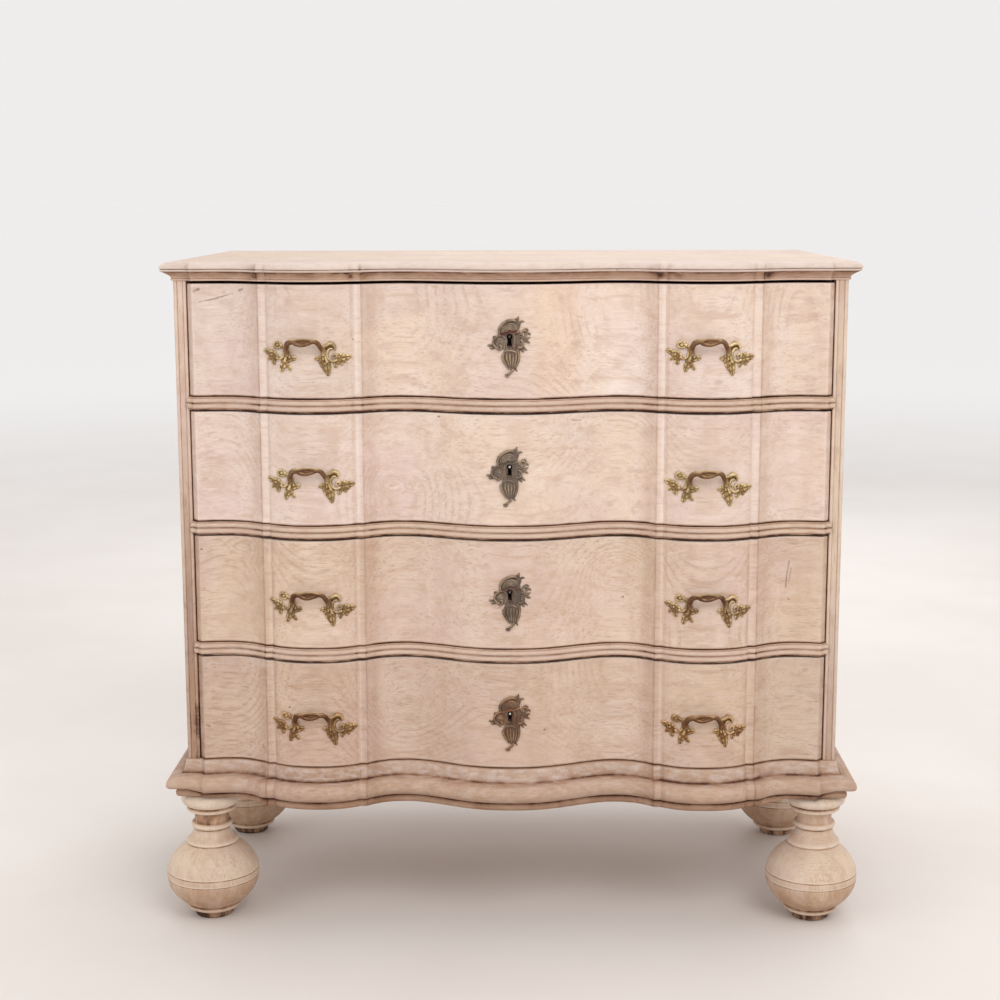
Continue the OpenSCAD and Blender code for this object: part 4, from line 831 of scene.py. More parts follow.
def drawer_front(i):
    z0, z1 = ZBOT[i] + 1.2, ZTOP[i]
    xs = stations(XDR - 1.0)
    xs = np.concatenate([[-XDR, -XDR + 0.9], xs[np.abs(xs) < XDR - 2.0], [XDR - 0.9, XDR]])
    H = z1 - z0
    zz = [(0.0, 2.2), (0.25, 1.2), (0.8, 0.45), (1.7, 0.0), (3.5, 0), (6.5, 0)] + [(h, 0) for h in np.linspace(12, H - 12, 14)] + \
         [(H - 6.5, 0), (H - 3.5, 0), (H - 2.0, 0.0), (H - 1.0, 0.5), (H - 0.3, 1.3), (H, 2.4)]
    n, m = len(xs), len(zz) + 2
    fy = YF + sy(xs)
    fy[0] += 1.6; fy[-1] += 1.6; fy[1] += 0.4; fy[-2] += 0.4
    s_in = sy(xs)
    by = YF + np.where(np.abs(xs) > 450, 22.0, np.minimum(22.0, s_in + 28))
    V = np.zeros((n, m, 3))
    V[:, :, 0] = xs[:, None]
    ph = 1.7*i
    for j, (h, ins) in enumerate(zz):
        wob = 0.28*np.sin(xs*0.019 + ph + h*0.011) + 0.18*np.sin(xs*0.041 + 2.1*ph - h*0.03)
        V[:, j, 1] = fy + ins + 0.3 + wob*0.9*(h > 1)*(h < H - 1)
        V[:, j, 2] = z0 + h
    V[:, m - 2, 1] = by; V[:, m - 2, 2] = z1
    V[:, m - 1, 1] = by; V[:, m - 1, 2] = z0
    Vf = V.reshape(-1, 3)
    F = []
    for a in range(n - 1):
        for j in range(m):
            k = (j + 1) % m
            F.append((a*m + j, (a + 1)*m + j, (a + 1)*m + k, a*m + k))
    F += [tuple(range(m)), tuple((n - 1)*m + j for j in range(m - 1, -1, -1))]
    dx, wx = crowd(Vf[:, 0], i > 1)
    h = Vf[:, 2] - z0
    front = np.tile(np.array([1]*len(zz) + [0, 0], float), n)
    # painted shade: the bottom edge dark over the gap, the ends and end chamfers darker; painted highlight: the top
    # edge and a line just above the bottom edge pale
    top_e = np.exp(-((H - h)/2.2)**2); bot_e = np.exp(-(h/2.2)**2)
    ends = np.exp(-((XDR - np.abs(Vf[:, 0]))/1.5)**2)
    side = np.exp(-((XDR - np.abs(Vf[:, 0]))/9.0)**2)*np.where(Vf[:, 0] < 0, (0.04, 0.05, 0.15, 0.26)[i], (0.12, 0.04, 0.05, 0.10)[i])
    D = np.clip(dx*0.80 + (0.95, 0.70, 0.45, 0.55)[i]*bot_e + 0.25*ends + side, 0, 1)*front + 0.1*(1 - front)
    W = np.clip(wx*0.85 + 0.80*top_e + 0.45*np.exp(-((h - 3.6)/1.6)**2), 0, 1)*front
    o = mk('drawer_%d_front_serpentine' % (i + 1), Vf, F, M['oak%d' % i], 'drawer_%d' % (i + 1), ['drawer_%d_front' % (i + 1)], angle=26,
           attrs={'dirt_and_shade': D, 'wear_and_highlight': W, 'lime': np.full(len(D), 0.25)})
    ly = YF - 51 + 28 - 2.5
    carve(o, [key_prism('c1', KEY[i], YF - 80, YF, r=4.9, w=3.2, w2=4.3, dn=16.0),
              box_mesh('c2', (-40.2, ly, KEY[i] - 30.2), (40.2, ly + 60, z1 + 20)),
              box_mesh('c3', (-46.2, ly - 3.7, z1 - 3.0), (46.2, ly + 60, z1 + 20)),
              stud_cutters('c4', i)])
    o.data.polygons.foreach_set('use_smooth', [True]*len(o.data.polygons))
    o.data.set_sharp_from_angle(angle=math.radians(26))
    return o


for i in range(4):
    drawer_front(i)
for o, z in RAILS + [(COVE, 1061.0)]:     # mortises of the lock bolts
    carve(o, [box_mesh('c5', (-10.9, YF - 22.8, z - 2.0), (10.9, YF - 15.0, z + 10.1))])
    o.data.polygons.foreach_set('use_smooth', [True]*len(o.data.polygons))
    o.data.set_sharp_from_angle(angle=math.radians(38))


# ---------------------------------------------------------------- castings
def spline(pts, n):
    P = np.array(pts, float)
    if len(P) == 2:
        t = np.linspace(0, 1, n)[:, None]
        return P[0]*(1 - t) + P[1]*t
    Q = np.vstack([2*P[0] - P[1], P, 2*P[-1] - P[-2]])
    out = []
    for t in np.linspace(0, len(P) - 1, n):
        k = min(int(t), len(P) - 2); u = t - k
        a, b, c, d = Q[k], Q[k + 1], Q[k + 2], Q[k + 3]
        out.append(0.5*((2*b) + (-a + c)*u + (2*a - 5*b + 4*c - d)*u*u + (-a + 3*b - 3*c + d)*u**3))
    return np.array(out)


class Cast:
    """Collects closed shells in local (x, z, q) mm; q is the height above the wood."""
    def __init__(self):
        self.V, self.F = [], []

    def _add(self, V, F):
        n = len(self.V)
        self.V += [tuple(v) for v in V]
        self.F += [tuple(a + n for a in f) for f in F]

    def rope(self, pts, rad, n=None, K=10, flat=1.0):
        """Round bar along (x, z, q) points with radii rad; flat squashes it in q."""
        n = n or max(6, 4*len(pts))
        P = spline(pts, n)
        R = np.interp(np.linspace(0, 1, n), np.linspace(0, 1, len(rad)), rad)
        T = np.gradient(P, axis=0); T /= np.linalg.norm(T, axis=1)[:, None] + 1e-9
        up = np.array([0, 0, 1.0])
        V = []
        for p, t, r in zip(P, T, R):
            a = np.cross(up, t)
            if np.linalg.norm(a) < 0.2:
                a = np.cross(np.array([0, 1.0, 0]), t)
            a /= np.linalg.norm(a); b = np.cross(t, a)
            for k in range(K):
                w = 2*math.pi*k/K
                o = r*(math.cos(w)*a + math.sin(w)*b)
                o[2] *= flat
                V.append(p + o)
        e0, e1 = P[0] - T[0]*R[0]*0.7, P[-1] + T[-1]*R[-1]*0.7
        V += [e0, e1]
        F = []
        for i in range(n - 1):
            for k in range(K):
                k2 = (k + 1) % K
                F.append((i*K + k, i*K + k2, (i + 1)*K + k2, (i + 1)*K + k))
        for k in range(K):
            k2 = (k + 1) % K
            F.append((n*K, k2, k)); F.append((n*K + 1, (n - 1)*K + k, (n - 1)*K + k2))
        self._add(V, F)

    def leaf(self, pts, wid, h, vein=0.45, q0=0.1, n=None, lift=0.0, lobes=2):
        """Leaf or lobe: spine through (x, z) points, half widths wid, crown height h, grooved along the
        spine, with a scalloped margin and furrows between the lobes."""
        n = n or max(14, 8*len(pts))
        P = spline(pts, n)
        W = np.interp(np.linspace(0, 1, n), np.linspace(0, 1, len(wid)), wid)
        T = np.gradient(P, axis=0); T /= np.linalg.norm(T, axis=1)[:, None] + 1e-9
        N = np.stack([-T[:, 1], T[:, 0]], 1)
        S = np.linspace(-1, 1, 11)
        wm = max(wid)
        V = []
        for i, (p, w, nn) in enumerate(zip(P, W, N)):
            u = i/(n - 1)
            hh = h*(0.35 + 0.65*math.sqrt(max(w, 0.05)/wm)) + lift*u*u
            sc = abs(math.sin(math.pi*lobes*u + 0.30))**0.7
            w = w*(0.82 + 0.26*sc)
            for s in S:
                q = q0 + hh*(max(0, 1 - s*s))**0.42*(1 - vein*math.exp(-(s/0.22)**2))*(1 - 0.28*(1 - sc)*min(1, 1.7*abs(s)))
                V.append((p[0] + nn[0]*s*w, p[1] + nn[1]*s*w, q))
            for s in (0.9, -0.9):
                V.append((p[0] + nn[0]*s*w, p[1] + nn[1]*s*w, q0 - 0.05 + lift*u*u*0.9))
        m = len(S) + 2
        F = []
        for i in range(n - 1):
            for k in range(m):
                k2 = (k + 1) % m
                F.append((i*m + k, i*m + k2, (i + 1)*m + k2, (i + 1)*m + k))
        F += [tuple(range(m - 1, -1, -1)), tuple((n - 1)*m + k for k in range(m))]
        self._add(V, F)

    def bud(self, x, z, rx, rz, h, q0=0.3):
        V, F = [], []
        K, L = 14, 7
        for i in range(1, L):
            a = math.pi*i/L
            for k in range(K):
                w = 2*math.pi*k/K
                V.append((x + rx*math.sin(a)*math.cos(w), z + rz*math.sin(a)*math.sin(w), max(q0 - 0.2, q0 + h*math.cos(a))))
        V += [(x, z, q0 + h), (x, z, q0 - 0.25)]
        for i in range(L - 2):
            for k in range(K):
                k2 = (k + 1) % K
                F.append((i*K + k, i*K + k2, (i + 1)*K + k2, (i + 1)*K + k))
        for k in range(K):
            k2 = (k + 1) % K
            F.append((len(V) - 2, k2, k)); F.append((len(V) - 1, (L - 2)*K + k, (L - 2)*K + k2))
        self._add(V, F)

    def curl(self, cx, cz, r0, r1, a0, a1, rad, q=1.6, n=22, q1=None):
        pts = []
        for t in np.linspace(0, 1, n):
            a = math.radians(a0 + (a1 - a0)*t); r = r0 + (r1 - r0)*t
            pts.append((cx + r*math.cos(a), cz + r*math.sin(a), q + ((q1 if q1 is not None else q) - q)*t))
        self.rope(pts, rad, n=n)

    def plate(self, outline, h0, dome=0.0, q0=0.1):
        """Thin plate with a rounded edge inside an outline."""
        P = np.array(outline, float)
        c = P.mean(0)
        rings = [(1.0, q0), (1.0, q0 + h0*0.6), (0.965, q0 + h0), (0.80, q0 + h0 + dome*0.5), (0.5, q0 + h0 + dome*0.85), (0.2, q0 + h0 + dome)]
        V, F = [], []
        n = len(P)
        for f, q in rings:
            for p in P:
                v = c + (p - c)*f
                V.append((v[0], v[1], q))
        for i in range(len(rings) - 1):
            for k in range(n):
                k2 = (k + 1) % n
                F.append((i*n + k, i*n + k2, (i + 1)*n + k2, (i + 1)*n + k))
        F.append(tuple(range(n - 1, -1, -1))); F.append(tuple((len(rings) - 1)*n + k for k in range(n)))
        self._add(V, F)

    def fuse(self, name, voxel=0.5, ratio=0.5, smooth=2):
        me = bpy.data.meshes.new(name)
        V = np.array(self.V); V = np.stack([V[:, 0], -V[:, 2], V[:, 1]], 1)
        me.from_pydata(V.tolist(), [], self.F)
        bm = bmesh.new(); bm.from_mesh(me); bmesh.ops.recalc_face_normals(bm, faces=bm.faces); bm.to_mesh(me); bm.free()
        o = bpy.data.objects.new(name, me)
        bpy.context.scene.collection.objects.link(o)
        md = o.modifiers.new('r', 'REMESH'); md.mode = 'VOXEL'; md.voxel_size = voxel; md.adaptivity = 0.0
        sm = o.modifiers.new('s', 'SMOOTH'); sm.factor = 0.5; sm.iterations = smooth
        dc = o.modifiers.new('d', 'DECIMATE'); dc.ratio = ratio
        dg = bpy.context.evaluated_depsgraph_get()
        out = bpy.data.meshes.new_from_object(o.evaluated_get(dg), depsgraph=dg)
        bpy.data.objects.remove(o, do_unlink=True)
        V = np.zeros(len(out.vertices)*3); out.vertices.foreach_get('co', V); V = V.reshape(-1, 3)
        N = np.zeros(len(out.vertices)*3); out.vertices.foreach_get('normal', N); N = N.reshape(-1, 3)
        E = np.zeros(len(out.edges)*2, int); out.edges.foreach_get('vertices', E); E = E.reshape(-1, 2)
        F = [tuple(p.vertices) for p in out.polygons]
        # how far each point sits below (or above) its neighbourhood
        acc = np.zeros_like(V); cnt = np.zeros(len(V))
        for a, b in ((0, 1), (1, 0)):
            np.add.at(acc, E[:, a], V[E[:, b]]); np.add.at(cnt, E[:, a], 1)
        hollows_and_light = -np.einsum('ij,ij->i', acc/np.maximum(cnt, 1)[:, None] - V, N)
        for _ in range(3):
            s = np.zeros(len(V));
            for a, b in ((0, 1), (1, 0)):
                np.add.at(s, E[:, a], hollows_and_light[E[:, b]])
            hollows_and_light = 0.4*hollows_and_light + 0.6*s/np.maximum(cnt, 1)
        hollows_and_light = np.clip(0.5 + hollows_and_light/(2.2*np.percentile(np.abs(hollows_and_light), 90) + 1e-9), 0, 1)
        # height above the wood also polishes the metal; painted light: up-facing points lighter, down-facing darker;
        # the bar's sides and underside stay brown, its up-facing tops left pale as a painted highlight
        q = -V[:, 1]
        brown = np.clip((q - 5)/7, 0, 1)*(1 - 0.92*np.clip((N[:, 2] - 0.42)/0.40, 0, 1))
        hollows_and_light = np.clip(0.74*hollows_and_light + 0.22*np.clip(q/4.5, 0, 1) + 0.20*N[:, 2], 0, 1)
        bpy.data.meshes.remove(out)
        return V, F, hollows_and_light, brown


def pull_cast():
    c = Cast()
    # the arched bar: stout shoulders, two strands round an eye in the middle
    c.rope([(-29.4, 3.2, 2.6), (-29.5, 10.7, 6.5), (-28.8, 17.4, 11.5), (-26.1, 22.8, 16), (-21.1, 25.5, 18.3), (-13.3, 25.0, 19.2)], [3.5, 3.7, 4.1, 4.6, 4.6, 4.0], n=30)
    c.rope([(-15.4, 23.3, 19.2), (-9.7, 21.0, 19.6), (-3.5, 20.2, 19.8), (3.9, 21.9, 19.6), (10.7, 24.9, 19.0)], [3.7, 3.1, 2.9, 3.0, 3.4], n=30)
    c.rope([(-15.4, 26.0, 19.2), (-8.7, 28.1, 19.5), (-1.4, 28.6, 19.6), (6.0, 28.1, 19.4), (11.8, 26.4, 18.9)], [3.7, 2.6, 2.4, 2.7, 3.5], n=30)
    c.rope([(10.0, 25.8, 19.0), (15.5, 26.1, 18.0), (20.0, 23.5, 15.2), (23.3, 17.8, 10.8), (26.3, 11.3, 6.4), (28.0, 3.8, 3.0)], [3.9, 4.1, 4.0, 3.7, 3.5, 3.5], n=30)
    c.rope([(-12.5, 24.4, 17.6), (-4.0, 24.2, 18.2), (2.5, 24.9, 18.2), (9.5, 25.6, 17.6)], [2.6, 3.4, 3.4, 2.6], n=20)
    # left mount: fluted post
    c.rope([(-33.4, 18.6, 2.8), (-33.8, 10.6, 2.5), (-35.4, 2.3, 2.2), (-38.8, -1.3, 1.9)], [2.2, 2.2, 2.2, 2.3])
    c.rope([(-30.5, 19.3, 3.4), (-30.4, 9.7, 3.1), (-31.3, 0.1, 2.9), (-33.5, -6.5, 2.5)], [2.5, 2.3, 2.4, 2.7])
    c.rope([(-27.4, 14.4, 2.8), (-26.8, 5.9, 2.5), (-25.4, -0.5, 2.2)], [2.1, 2.0, 2.1])
    # outer spray
    c.rope([(-34.6, 1.8, 1.9), (-39.3, -1.9, 1.8), (-43.5, -2.2, 1.8), (-46.8, -0.1, 1.9)], [2.5, 2.3, 2.3, 2.4])
    c.leaf([(-44.8, -0.8), (-52.4, 4.2), (-60.2, 7.6), (-68.4, 11.0)], [4.0, 6.2, 5.7, 2.4], 3.1, vein=0.30, lobes=3)
    c.leaf([(-48.2, 0.5), (-51.7, -5.3), (-49.8, -12.3)], [4.2, 4.8, 2.1], 2.8, vein=0.30, lobes=2)
    c.leaf([(-52.4, 0.5), (-57.9, -1.3), (-61.5, -5.6)], [3.7, 3.8, 1.9], 2.6, vein=0.30, lobes=2)
    c.bud(-50.2, 6.9, 3.3, 3.3, 2.9)
    c.bud(-58.1, 8.2, 3.0, 3.0, 2.7)
    c.bud(-54.4, 3.8, 2.2, 2.2, 3.5)
    c.bud(-65.2, 9.5, 2.4, 2.4, 2.3)
    # upper rosette
    c.rope([(-32.6, 14.3, 2.2), (-36.4, 16.7, 2.1), (-40.4, 19.9, 2.0)], [2.4, 2.2, 2.3])
    c.rope([(-38.8, 16.4, 2.0), (-43.0, 14.8, 1.9), (-48.2, 15.2, 1.8), (-50.6, 18.5, 1.8), (-49.1, 22.4, 1.9), (-44.6, 23.5, 1.9)], [2.0, 2.2, 2.4, 2.4, 2.4, 1.9], n=30)
    c.bud(-41.6, 21.4, 3.3, 3.3, 2.8)
    c.bud(-45.0, 19.1, 4.7, 4.3, 3.7)
    c.bud(-48.5, 22.4, 3.0, 3.0, 2.7)
    c.bud(-47.9, 15.6, 3.1, 3.1, 2.5)
    # inner leaf and hanging leaves
    c.leaf([(-28.9, -4.7), (-22.6, -1.9), (-17.9, -1.1), (-14.9, -1.7)], [4.2, 5.0, 4.5, 2.4], 2.9, vein=0.30, lobes=2)
    c.bud(-20.3, 0.8, 2.5, 2.5, 2.3)
    c.leaf([(-32.2, -3.4), (-34.9, -10.6), (-37.7, -17.0), (-38.9, -23.4)], [5.6, 6.2, 4.6, 2.2], 3.3, vein=0.30, lobes=3)
    c.leaf([(-32.2, -9.1), (-27.8, -14.9), (-23.5, -20.0)], [4.1, 3.8, 1.9], 2.7, vein=0.30, lobes=2)
    c.bud(-34.5, -8.3, 3.1, 3.1, 3.5)
    c.bud(-38.7, -14.7, 2.9, 2.9, 2.6)
    c.bud(-30.5, -11.9, 2.6, 2.6, 2.6)
    # right mount: post and C scroll
    c.rope([(27.8, 18.2, 3.3), (29.3, 9.6, 2.9), (31.2, 0.1, 2.7), (34.2, -7.6, 2.3)], [2.7, 2.5, 2.6, 2.9])
    c.rope([(25.4, 9.6, 2.6), (27.0, 2.1, 2.4), (28.0, -3.7, 2.2)], [2.2, 2.1, 2.2])
    c.rope([(29.6, 17.2, 2.7), (33.3, 19.1, 2.6), (37.9, 21.0, 2.5), (42.5, 20.2, 2.4), (45.5, 16.1, 2.2), (45.5, 10.8, 2.0)], [2.7, 2.9, 3.3, 3.2, 2.7, 1.5], n=30)
    c.leaf([(30.2, 14.3), (34.9, 16.7), (40.1, 17.1), (44.1, 14.3)], [3.2, 3.7, 3.7, 2.5], 2.0, vein=0.30, lobes=2)
    c.bud(37.6, 22.6, 3.4, 3.4, 2.8)
    c.bud(43.2, 19.0, 2.8, 2.8, 2.5)
    c.rope([(42.0, 13.1, 1.9), (38.0, 13.3, 2.1), (35.0, 10.6, 2.3), (33.3, 5.3, 2.5), (34.4, -1.0, 2.5), (38.4, -5.1, 2.2), (43.8, -6.1, 2.0), (48.4, -4.3, 2.0)], [1.6, 1.9, 2.2, 2.4, 2.4, 2.3, 2.3, 2.2], n=40)
    # outer leaf
    c.rope([(43.2, -1.1, 1.9), (42.0, 2.3, 1.9), (44.8, 4.6, 1.9), (48.0, 2.9, 1.9), (47.0, -0.6, 1.9)], [1.6, 1.9, 2.0, 1.9, 1.7], n=26)
    c.leaf([(46.9, -3.7), (55.2, -1.3), (62.9, -0.3), (70.4, 1.0)], [5.2, 6.7, 5.8, 2.0], 3.3, vein=0.30, lobes=3)
    c.bud(54.5, 3.8, 3.2, 3.2, 2.7)
    c.bud(49.7, 3.6, 2.4, 2.4, 2.3)
    c.bud(61.0, -6.2, 2.7, 2.7, 2.3)
    c.leaf([(51.1, -4.8), (46.9, -10.6), (45.7, -16.7)], [4.5, 4.6, 2.0], 2.9, vein=0.30, lobes=2)
    c.leaf([(56.4, -3.4), (56.0, -9.1), (55.3, -13.4)], [4.0, 3.6, 1.9], 2.6, vein=0.30, lobes=2)
    # inner leaf and hanging leaves
    c.leaf([(28.1, -4.7), (22.8, -1.7), (18.1, -1.5), (13.5, -1.7)], [4.6, 5.0, 3.7, 1.9], 2.9, vein=0.30, lobes=2)
    c.bud(23.2, 1.2, 2.8, 2.8, 2.4)
    c.bud(22.3, -6.6, 2.9, 2.9, 2.5)
    c.leaf([(32.8, -5.6), (33.4, -13.8), (34.0, -21.8), (35.1, -29.1)], [5.5, 6.2, 4.8, 2.2], 3.4, vein=0.30, lobes=3)
    c.leaf([(24.2, -6.2), (26.3, -12.8), (30.5, -19.1), (33.6, -24.0)], [3.5, 4.1, 3.6, 2.0], 2.8, vein=0.30, lobes=2)
    c.bud(37.2, -14.0, 2.7, 2.7, 2.4)
    c.bud(36.7, -21.9, 2.5, 2.5, 2.2)
    c.bud(30.9, -9.6, 2.6, 2.6, 3.2)
    c.bud(-31.6, 0, 4.8, 4.8, 3.2); c.bud(31.4, 0, 4.8, 4.8, 3.2)
    return c.fuse('pull_src', voxel=0.55, ratio=0.42)


def scutcheon_cast():
    c = Cast()
    body = [(-11, 4), (-16, 8), (-16, 15), (-12, 21), (-5, 26), (3, 27), (9, 24), (13, 20), (14, 13), (15, 6), (16, -2), (16, -12), (15, -21), (15.5, -30), (14.5, -38), (11, -46), (4, -51),
            (1, -50), (-3, -48), (-8, -41), (-12.5, -33), (-13, -27), (-10, -22), (-9, -17), (-14, -19), (-21, -19), (-25, -13), (-25, -6), (-21, 0), (-15, 2)]
    c.plate(body, 1.9, 1.0)
    # shell: rim, gadroons
    c.rope([(-17, 4.6, 1.8), (-17.4, 11, 2.0), (-14.4, 17.6, 2.2), (-9.0, 22.6, 2.3), (-2, 26, 2.3), (4, 26.6, 2.2), (8, 25, 1.9)], [1.9, 2.3, 2.6, 2.6, 2.5, 2.2, 1.8], n=34)
    for f_ in (0.84, 0.66, 0.48, 0.30):
        arc = [(-15.5, 7.5), (-14.6, 13), (-11, 18.6), (-5, 22.4), (2, 23.2), (8, 20.4), (11.2, 15.6), (11.4, 11.0)]
        c.rope([(-1.5 + (x + 1.5)*f_, 9.0 + (z - 9.0)*f_, 2.0 + 0.7*(1 - f_)) for x, z in arc], [1.1, 1.45, 1.5, 1.4, 1.1], n=26)
    c.rope([(-18, 2.8, 1.9), (-10, 3.6, 2.3), (-1, 5.6, 2.6), (7, 6.8, 2.5), (13, 8.8, 2.0)], [1.3, 1.5, 1.6, 1.5, 1.1], n=24)
    # flame and spurs at the top right
    c.leaf([(9, 18), (11, 24), (11.6, 29), (13.0, 33.2)], [3.4, 3.3, 2.2, 0.5], 2.4)
    c.leaf([(7.5, 21), (8.4, 26), (8.2, 30.5)], [1.8, 1.8, 0.5], 2.1)
    c.leaf([(13, 20), (17, 24.4), (22.2, 24.0)], [2.2, 2.2, 0.6], 2.1)
    c.leaf([(12, 15), (14.6, 18.2), (16.0, 18.6)], [2.4, 2.0, 0.6], 1.9)
    # left C scroll with its hollow and the curl outside it
    c.curl(-17.4, -8.2, 9.4, 9.0, 112, 262, [1.7, 1.9, 2.0, 2.2], q=2.0)
    c.curl(-17.6, -14.6, 5.0, 1.9, 262, 440, [2.1, 1.9, 1.5], q=2.1)
    c.rope([(-20.6, 1.6, 1.9), (-14.6, 2.6, 2.2), (-9.6, 0.6, 2.2), (-8.0, -5, 2.1), (-8.6, -12, 2.0), (-10, -17, 1.9)], [1.6, 1.6, 1.5, 1.5, 1.5, 1.5], n=26)
    c.leaf([(-25, -10), (-29.6, -13.2), (-34.6, -11.8)], [1.9, 2.2, 1.5], 2.0)
    c.leaf([(-24, -15), (-28, -17.6), (-32.8, -16.6)], [2.0, 1.9, 0.6], 1.9)
    c.leaf([(-22, 0), (-25.6, 1.2), (-27.8, -1.6)], [1.7, 1.6, 0.5], 1.8)
    c.bud(-33.6, -12.6, 2.1, 2.0, 2.3)
    # collar of the keyhole
    c.rope([(-5.6, -14.6, 2.2), (-6.4, -6, 2.3), (-6.6, 0, 2.4), (-4.6, 4.6, 2.5), (0, 6.6, 2.6), (4.6, 4.6, 2.5), (6.6, 0, 2.4), (6.4, -6, 2.3), (5.6, -14.6, 2.2)], [1.3, 1.4, 1.4, 1.4, 1.4, 1.4, 1.4, 1.4, 1.3], n=44)
    # right cluster
    c.curl(22.6, 6.0, 5.6, 2.6, 200, -90, [1.7, 1.8, 1.6, 1.2], q=2.0)
    c.bud(23.0, 5.8, 1.9, 1.9, 2.5)
    c.leaf([(16, 3), (20, -0.6), (26, -1.6), (31.4, 0.4)], [2.8, 3.1, 2.6, 0.7], 2.3)
    c.leaf([(20, 10), (24.6, 12.4), (28.6, 10)], [2.2, 2.3, 0.7], 2.1)
    c.leaf([(26, 6), (29.8, 5.4), (31.6, 2.6)], [1.9, 1.8, 0.6], 2.0)
    c.leaf([(20, -3), (26, -6.4), (30.8, -9.4)], [2.6, 2.6, 0.7], 2.1)
    c.curl(13.6, -11, 7.6, 4.4, 70, -110, [1.8, 2.1, 2.3], q=2.2)
    c.bud(11.0, -19.6, 3.4, 3.4, 3.0)
    c.leaf([(17, -12), (21.6, -17), (26.4, -20.8)], [2.3, 2.3, 0.6], 2.1)
    c.leaf([(16, -17), (19.4, -21.4), (21.6, -23.4)], [1.9, 1.8, 0.5], 1.9)
    # fluted pendant
    for x0, x1, xm, zb, r in ((-9.4, -3.4, -11.6, -48, 1.5), (-5.0, -0.6, -5.6, -49.4, 1.5), (-0.6, 1.2, -0.6, -50, 1.6), (4.0, 3.2, 4.6, -50, 1.6), (8.4, 5.4, 9.2, -49, 1.5), (12.6, 8.4, 13.4, -46.6, 1.4)):
        c.rope([(x0, -22, 1.6), (xm, -32, 2.4), ((xm + x1)/2, -41, 2.1), (x1, zb, 1.6)], [r*0.9, r*1.15, r, r*0.6], n=20)
    c.rope([(-13.0, -27, 1.5), (-12.4, -33.5, 1.7), (-8, -41.6, 1.7), (-3, -49, 1.6)], [1.3, 1.5, 1.4, 1.2], n=18)
    c.rope([(-10, -22, 1.8), (-3, -20.6, 2.3), (4, -21.4, 2.4), (9.6, -23.6, 2.2)], [1.3, 1.5, 1.5, 1.3], n=16)
    c.rope([(4.6, -49.5, 1.7), (2.0, -53.4, 1.7), (-0.6, -55.6, 1.7), (-3.0, -58.0, 1.8)], [2.2, 1.9, 1.7, 1.8], n=16)
    c.curl(-5.0, -58.4, 3.0, 2.2, 60, -200, [1.7, 1.7, 1.5], q=1.7)
    c.bud(-5.4, -59.0, 1.9, 1.9, 2.2)
    c.leaf([(6.6, -47), (9.4, -51.0), (10.6, -53.6)], [1.8, 1.6, 0.5], 1.7)
    return c.fuse('scutcheon_src', voxel=0.5, ratio=0.42)


def put_cast(name, src, x0, zc, body, node, mat, turn=0.0):
    V, F, hollows_and_light, brown = src
    W = V.copy()
    a = math.radians(turn)
    W[:, 0] = V[:, 0]*math.cos(a) - V[:, 2]*math.sin(a); W[:, 2] = V[:, 0]*math.sin(a) + V[:, 2]*math.cos(a)
    W[:, 0] += x0
    # every point follows the wood's serpentine face, the bar as well
    W[:, 1] = YF + sy(W[:, 0]) + V[:, 1]
    W[:, 2] += zc
    return mk(name, W, F, mat, body, [node], angle=50, attrs={'hollows_and_light': hollows_and_light, 'out': brown}, recalc=False)


# each casting was fixed by hand: shift in x, shift in z, turn in degrees
SET = [[(-2.6, 3.2, 0), (-2.8, 3.0, 0)], [(-0.4, 3.0, 0.4), (-3.0, -1.2, 0)], [(-1.6, 3.6, -0.6), (0, 1.6, 0)], [(-1.6, 3.6, 0), (-3.2, 1.4, 0.8)]]
SETE = [(1.3, -1.2, 0), (-1.5, -1.2, 0), (2.2, -1.2, 0), (1.3, 0.2, 0)]
PC = pull_cast()
SC = scutcheon_cast()
bx, bz = SC[0][:, 0], SC[0][:, 2]        # the dark band over the keyhole
SC = SC[:3] + (1.25*np.exp(-((bz - 7.4 - 0.21*bx)/2.6)**2)*np.clip((bx + 17)/4, 0, 1)*np.clip((12 - bx)/3, 0, 1),)
for i in range(4):
    d = 'drawer_%d' % (i + 1)
    for s, nm in ((-1, 'left'), (1, 'right')):
        dx, dz, tw = SET[i][0 if s < 0 else 1]
        put_cast('%s_pull_%s_cast' % (d, nm), PC, s*315.0 + dx, PULL[i] + dz, d, '%s_pull_%s' % (d, nm), M['brass%d' % i], tw)
    o = put_cast('%s_escutcheon_cast' % d, SC, SETE[i][0], KEY[i] + SETE[i][1], d, d + '_escutcheon', M['bronze%d' % i], SETE[i][2])
    carve(o, [key_prism('k', KEY[i], YF - 80, YF, r=4.6, w=2.9, w2=4.1, dn=15.6)])
    o.data.polygons.foreach_set('use_smooth', [True]*len(o.data.polygons))
    o.data.set_sharp_from_angle(angle=math.radians(50))

# ---------------------------------------------------------------- carried-over nodes
def dress(node, mat, bevel=0.0):
    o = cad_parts[node]
    if not len(o.data.materials):
        o.data.materials.append(mat)
    for k in range(len(o.material_slots)):
        o.material_slots[k].material = mat
    if bevel:
        md = o.modifiers.new('edge', 'BEVEL'); md.width = bevel*0.001; md.segments = 2
        md.limit_method = 'ANGLE'; md.angle_limit = math.radians(40)


for i in range(4):
    d = 'drawer_%d_' % (i + 1)
    dress(d + 'sides', M['inner']); dress(d + 'back', M['innerx'], 0.8); dress(d + 'bottom', M['innerx'])
    dress(d + 'lock', M['lock%d' % i]); dress(d + 'lock_bolt', M['iron'], 0.5); dress(d + 'pull_nuts', M['iron'], 0.5)
for n, m in (('bottom_board', 'innerx'), ('back_boards', 'innerz'), ('drawer_runners', 'inner'), ('foot_blocks', 'inner')):
    dress(n, M[m], 0.8 if n != 'drawer_runners' else 0.0)

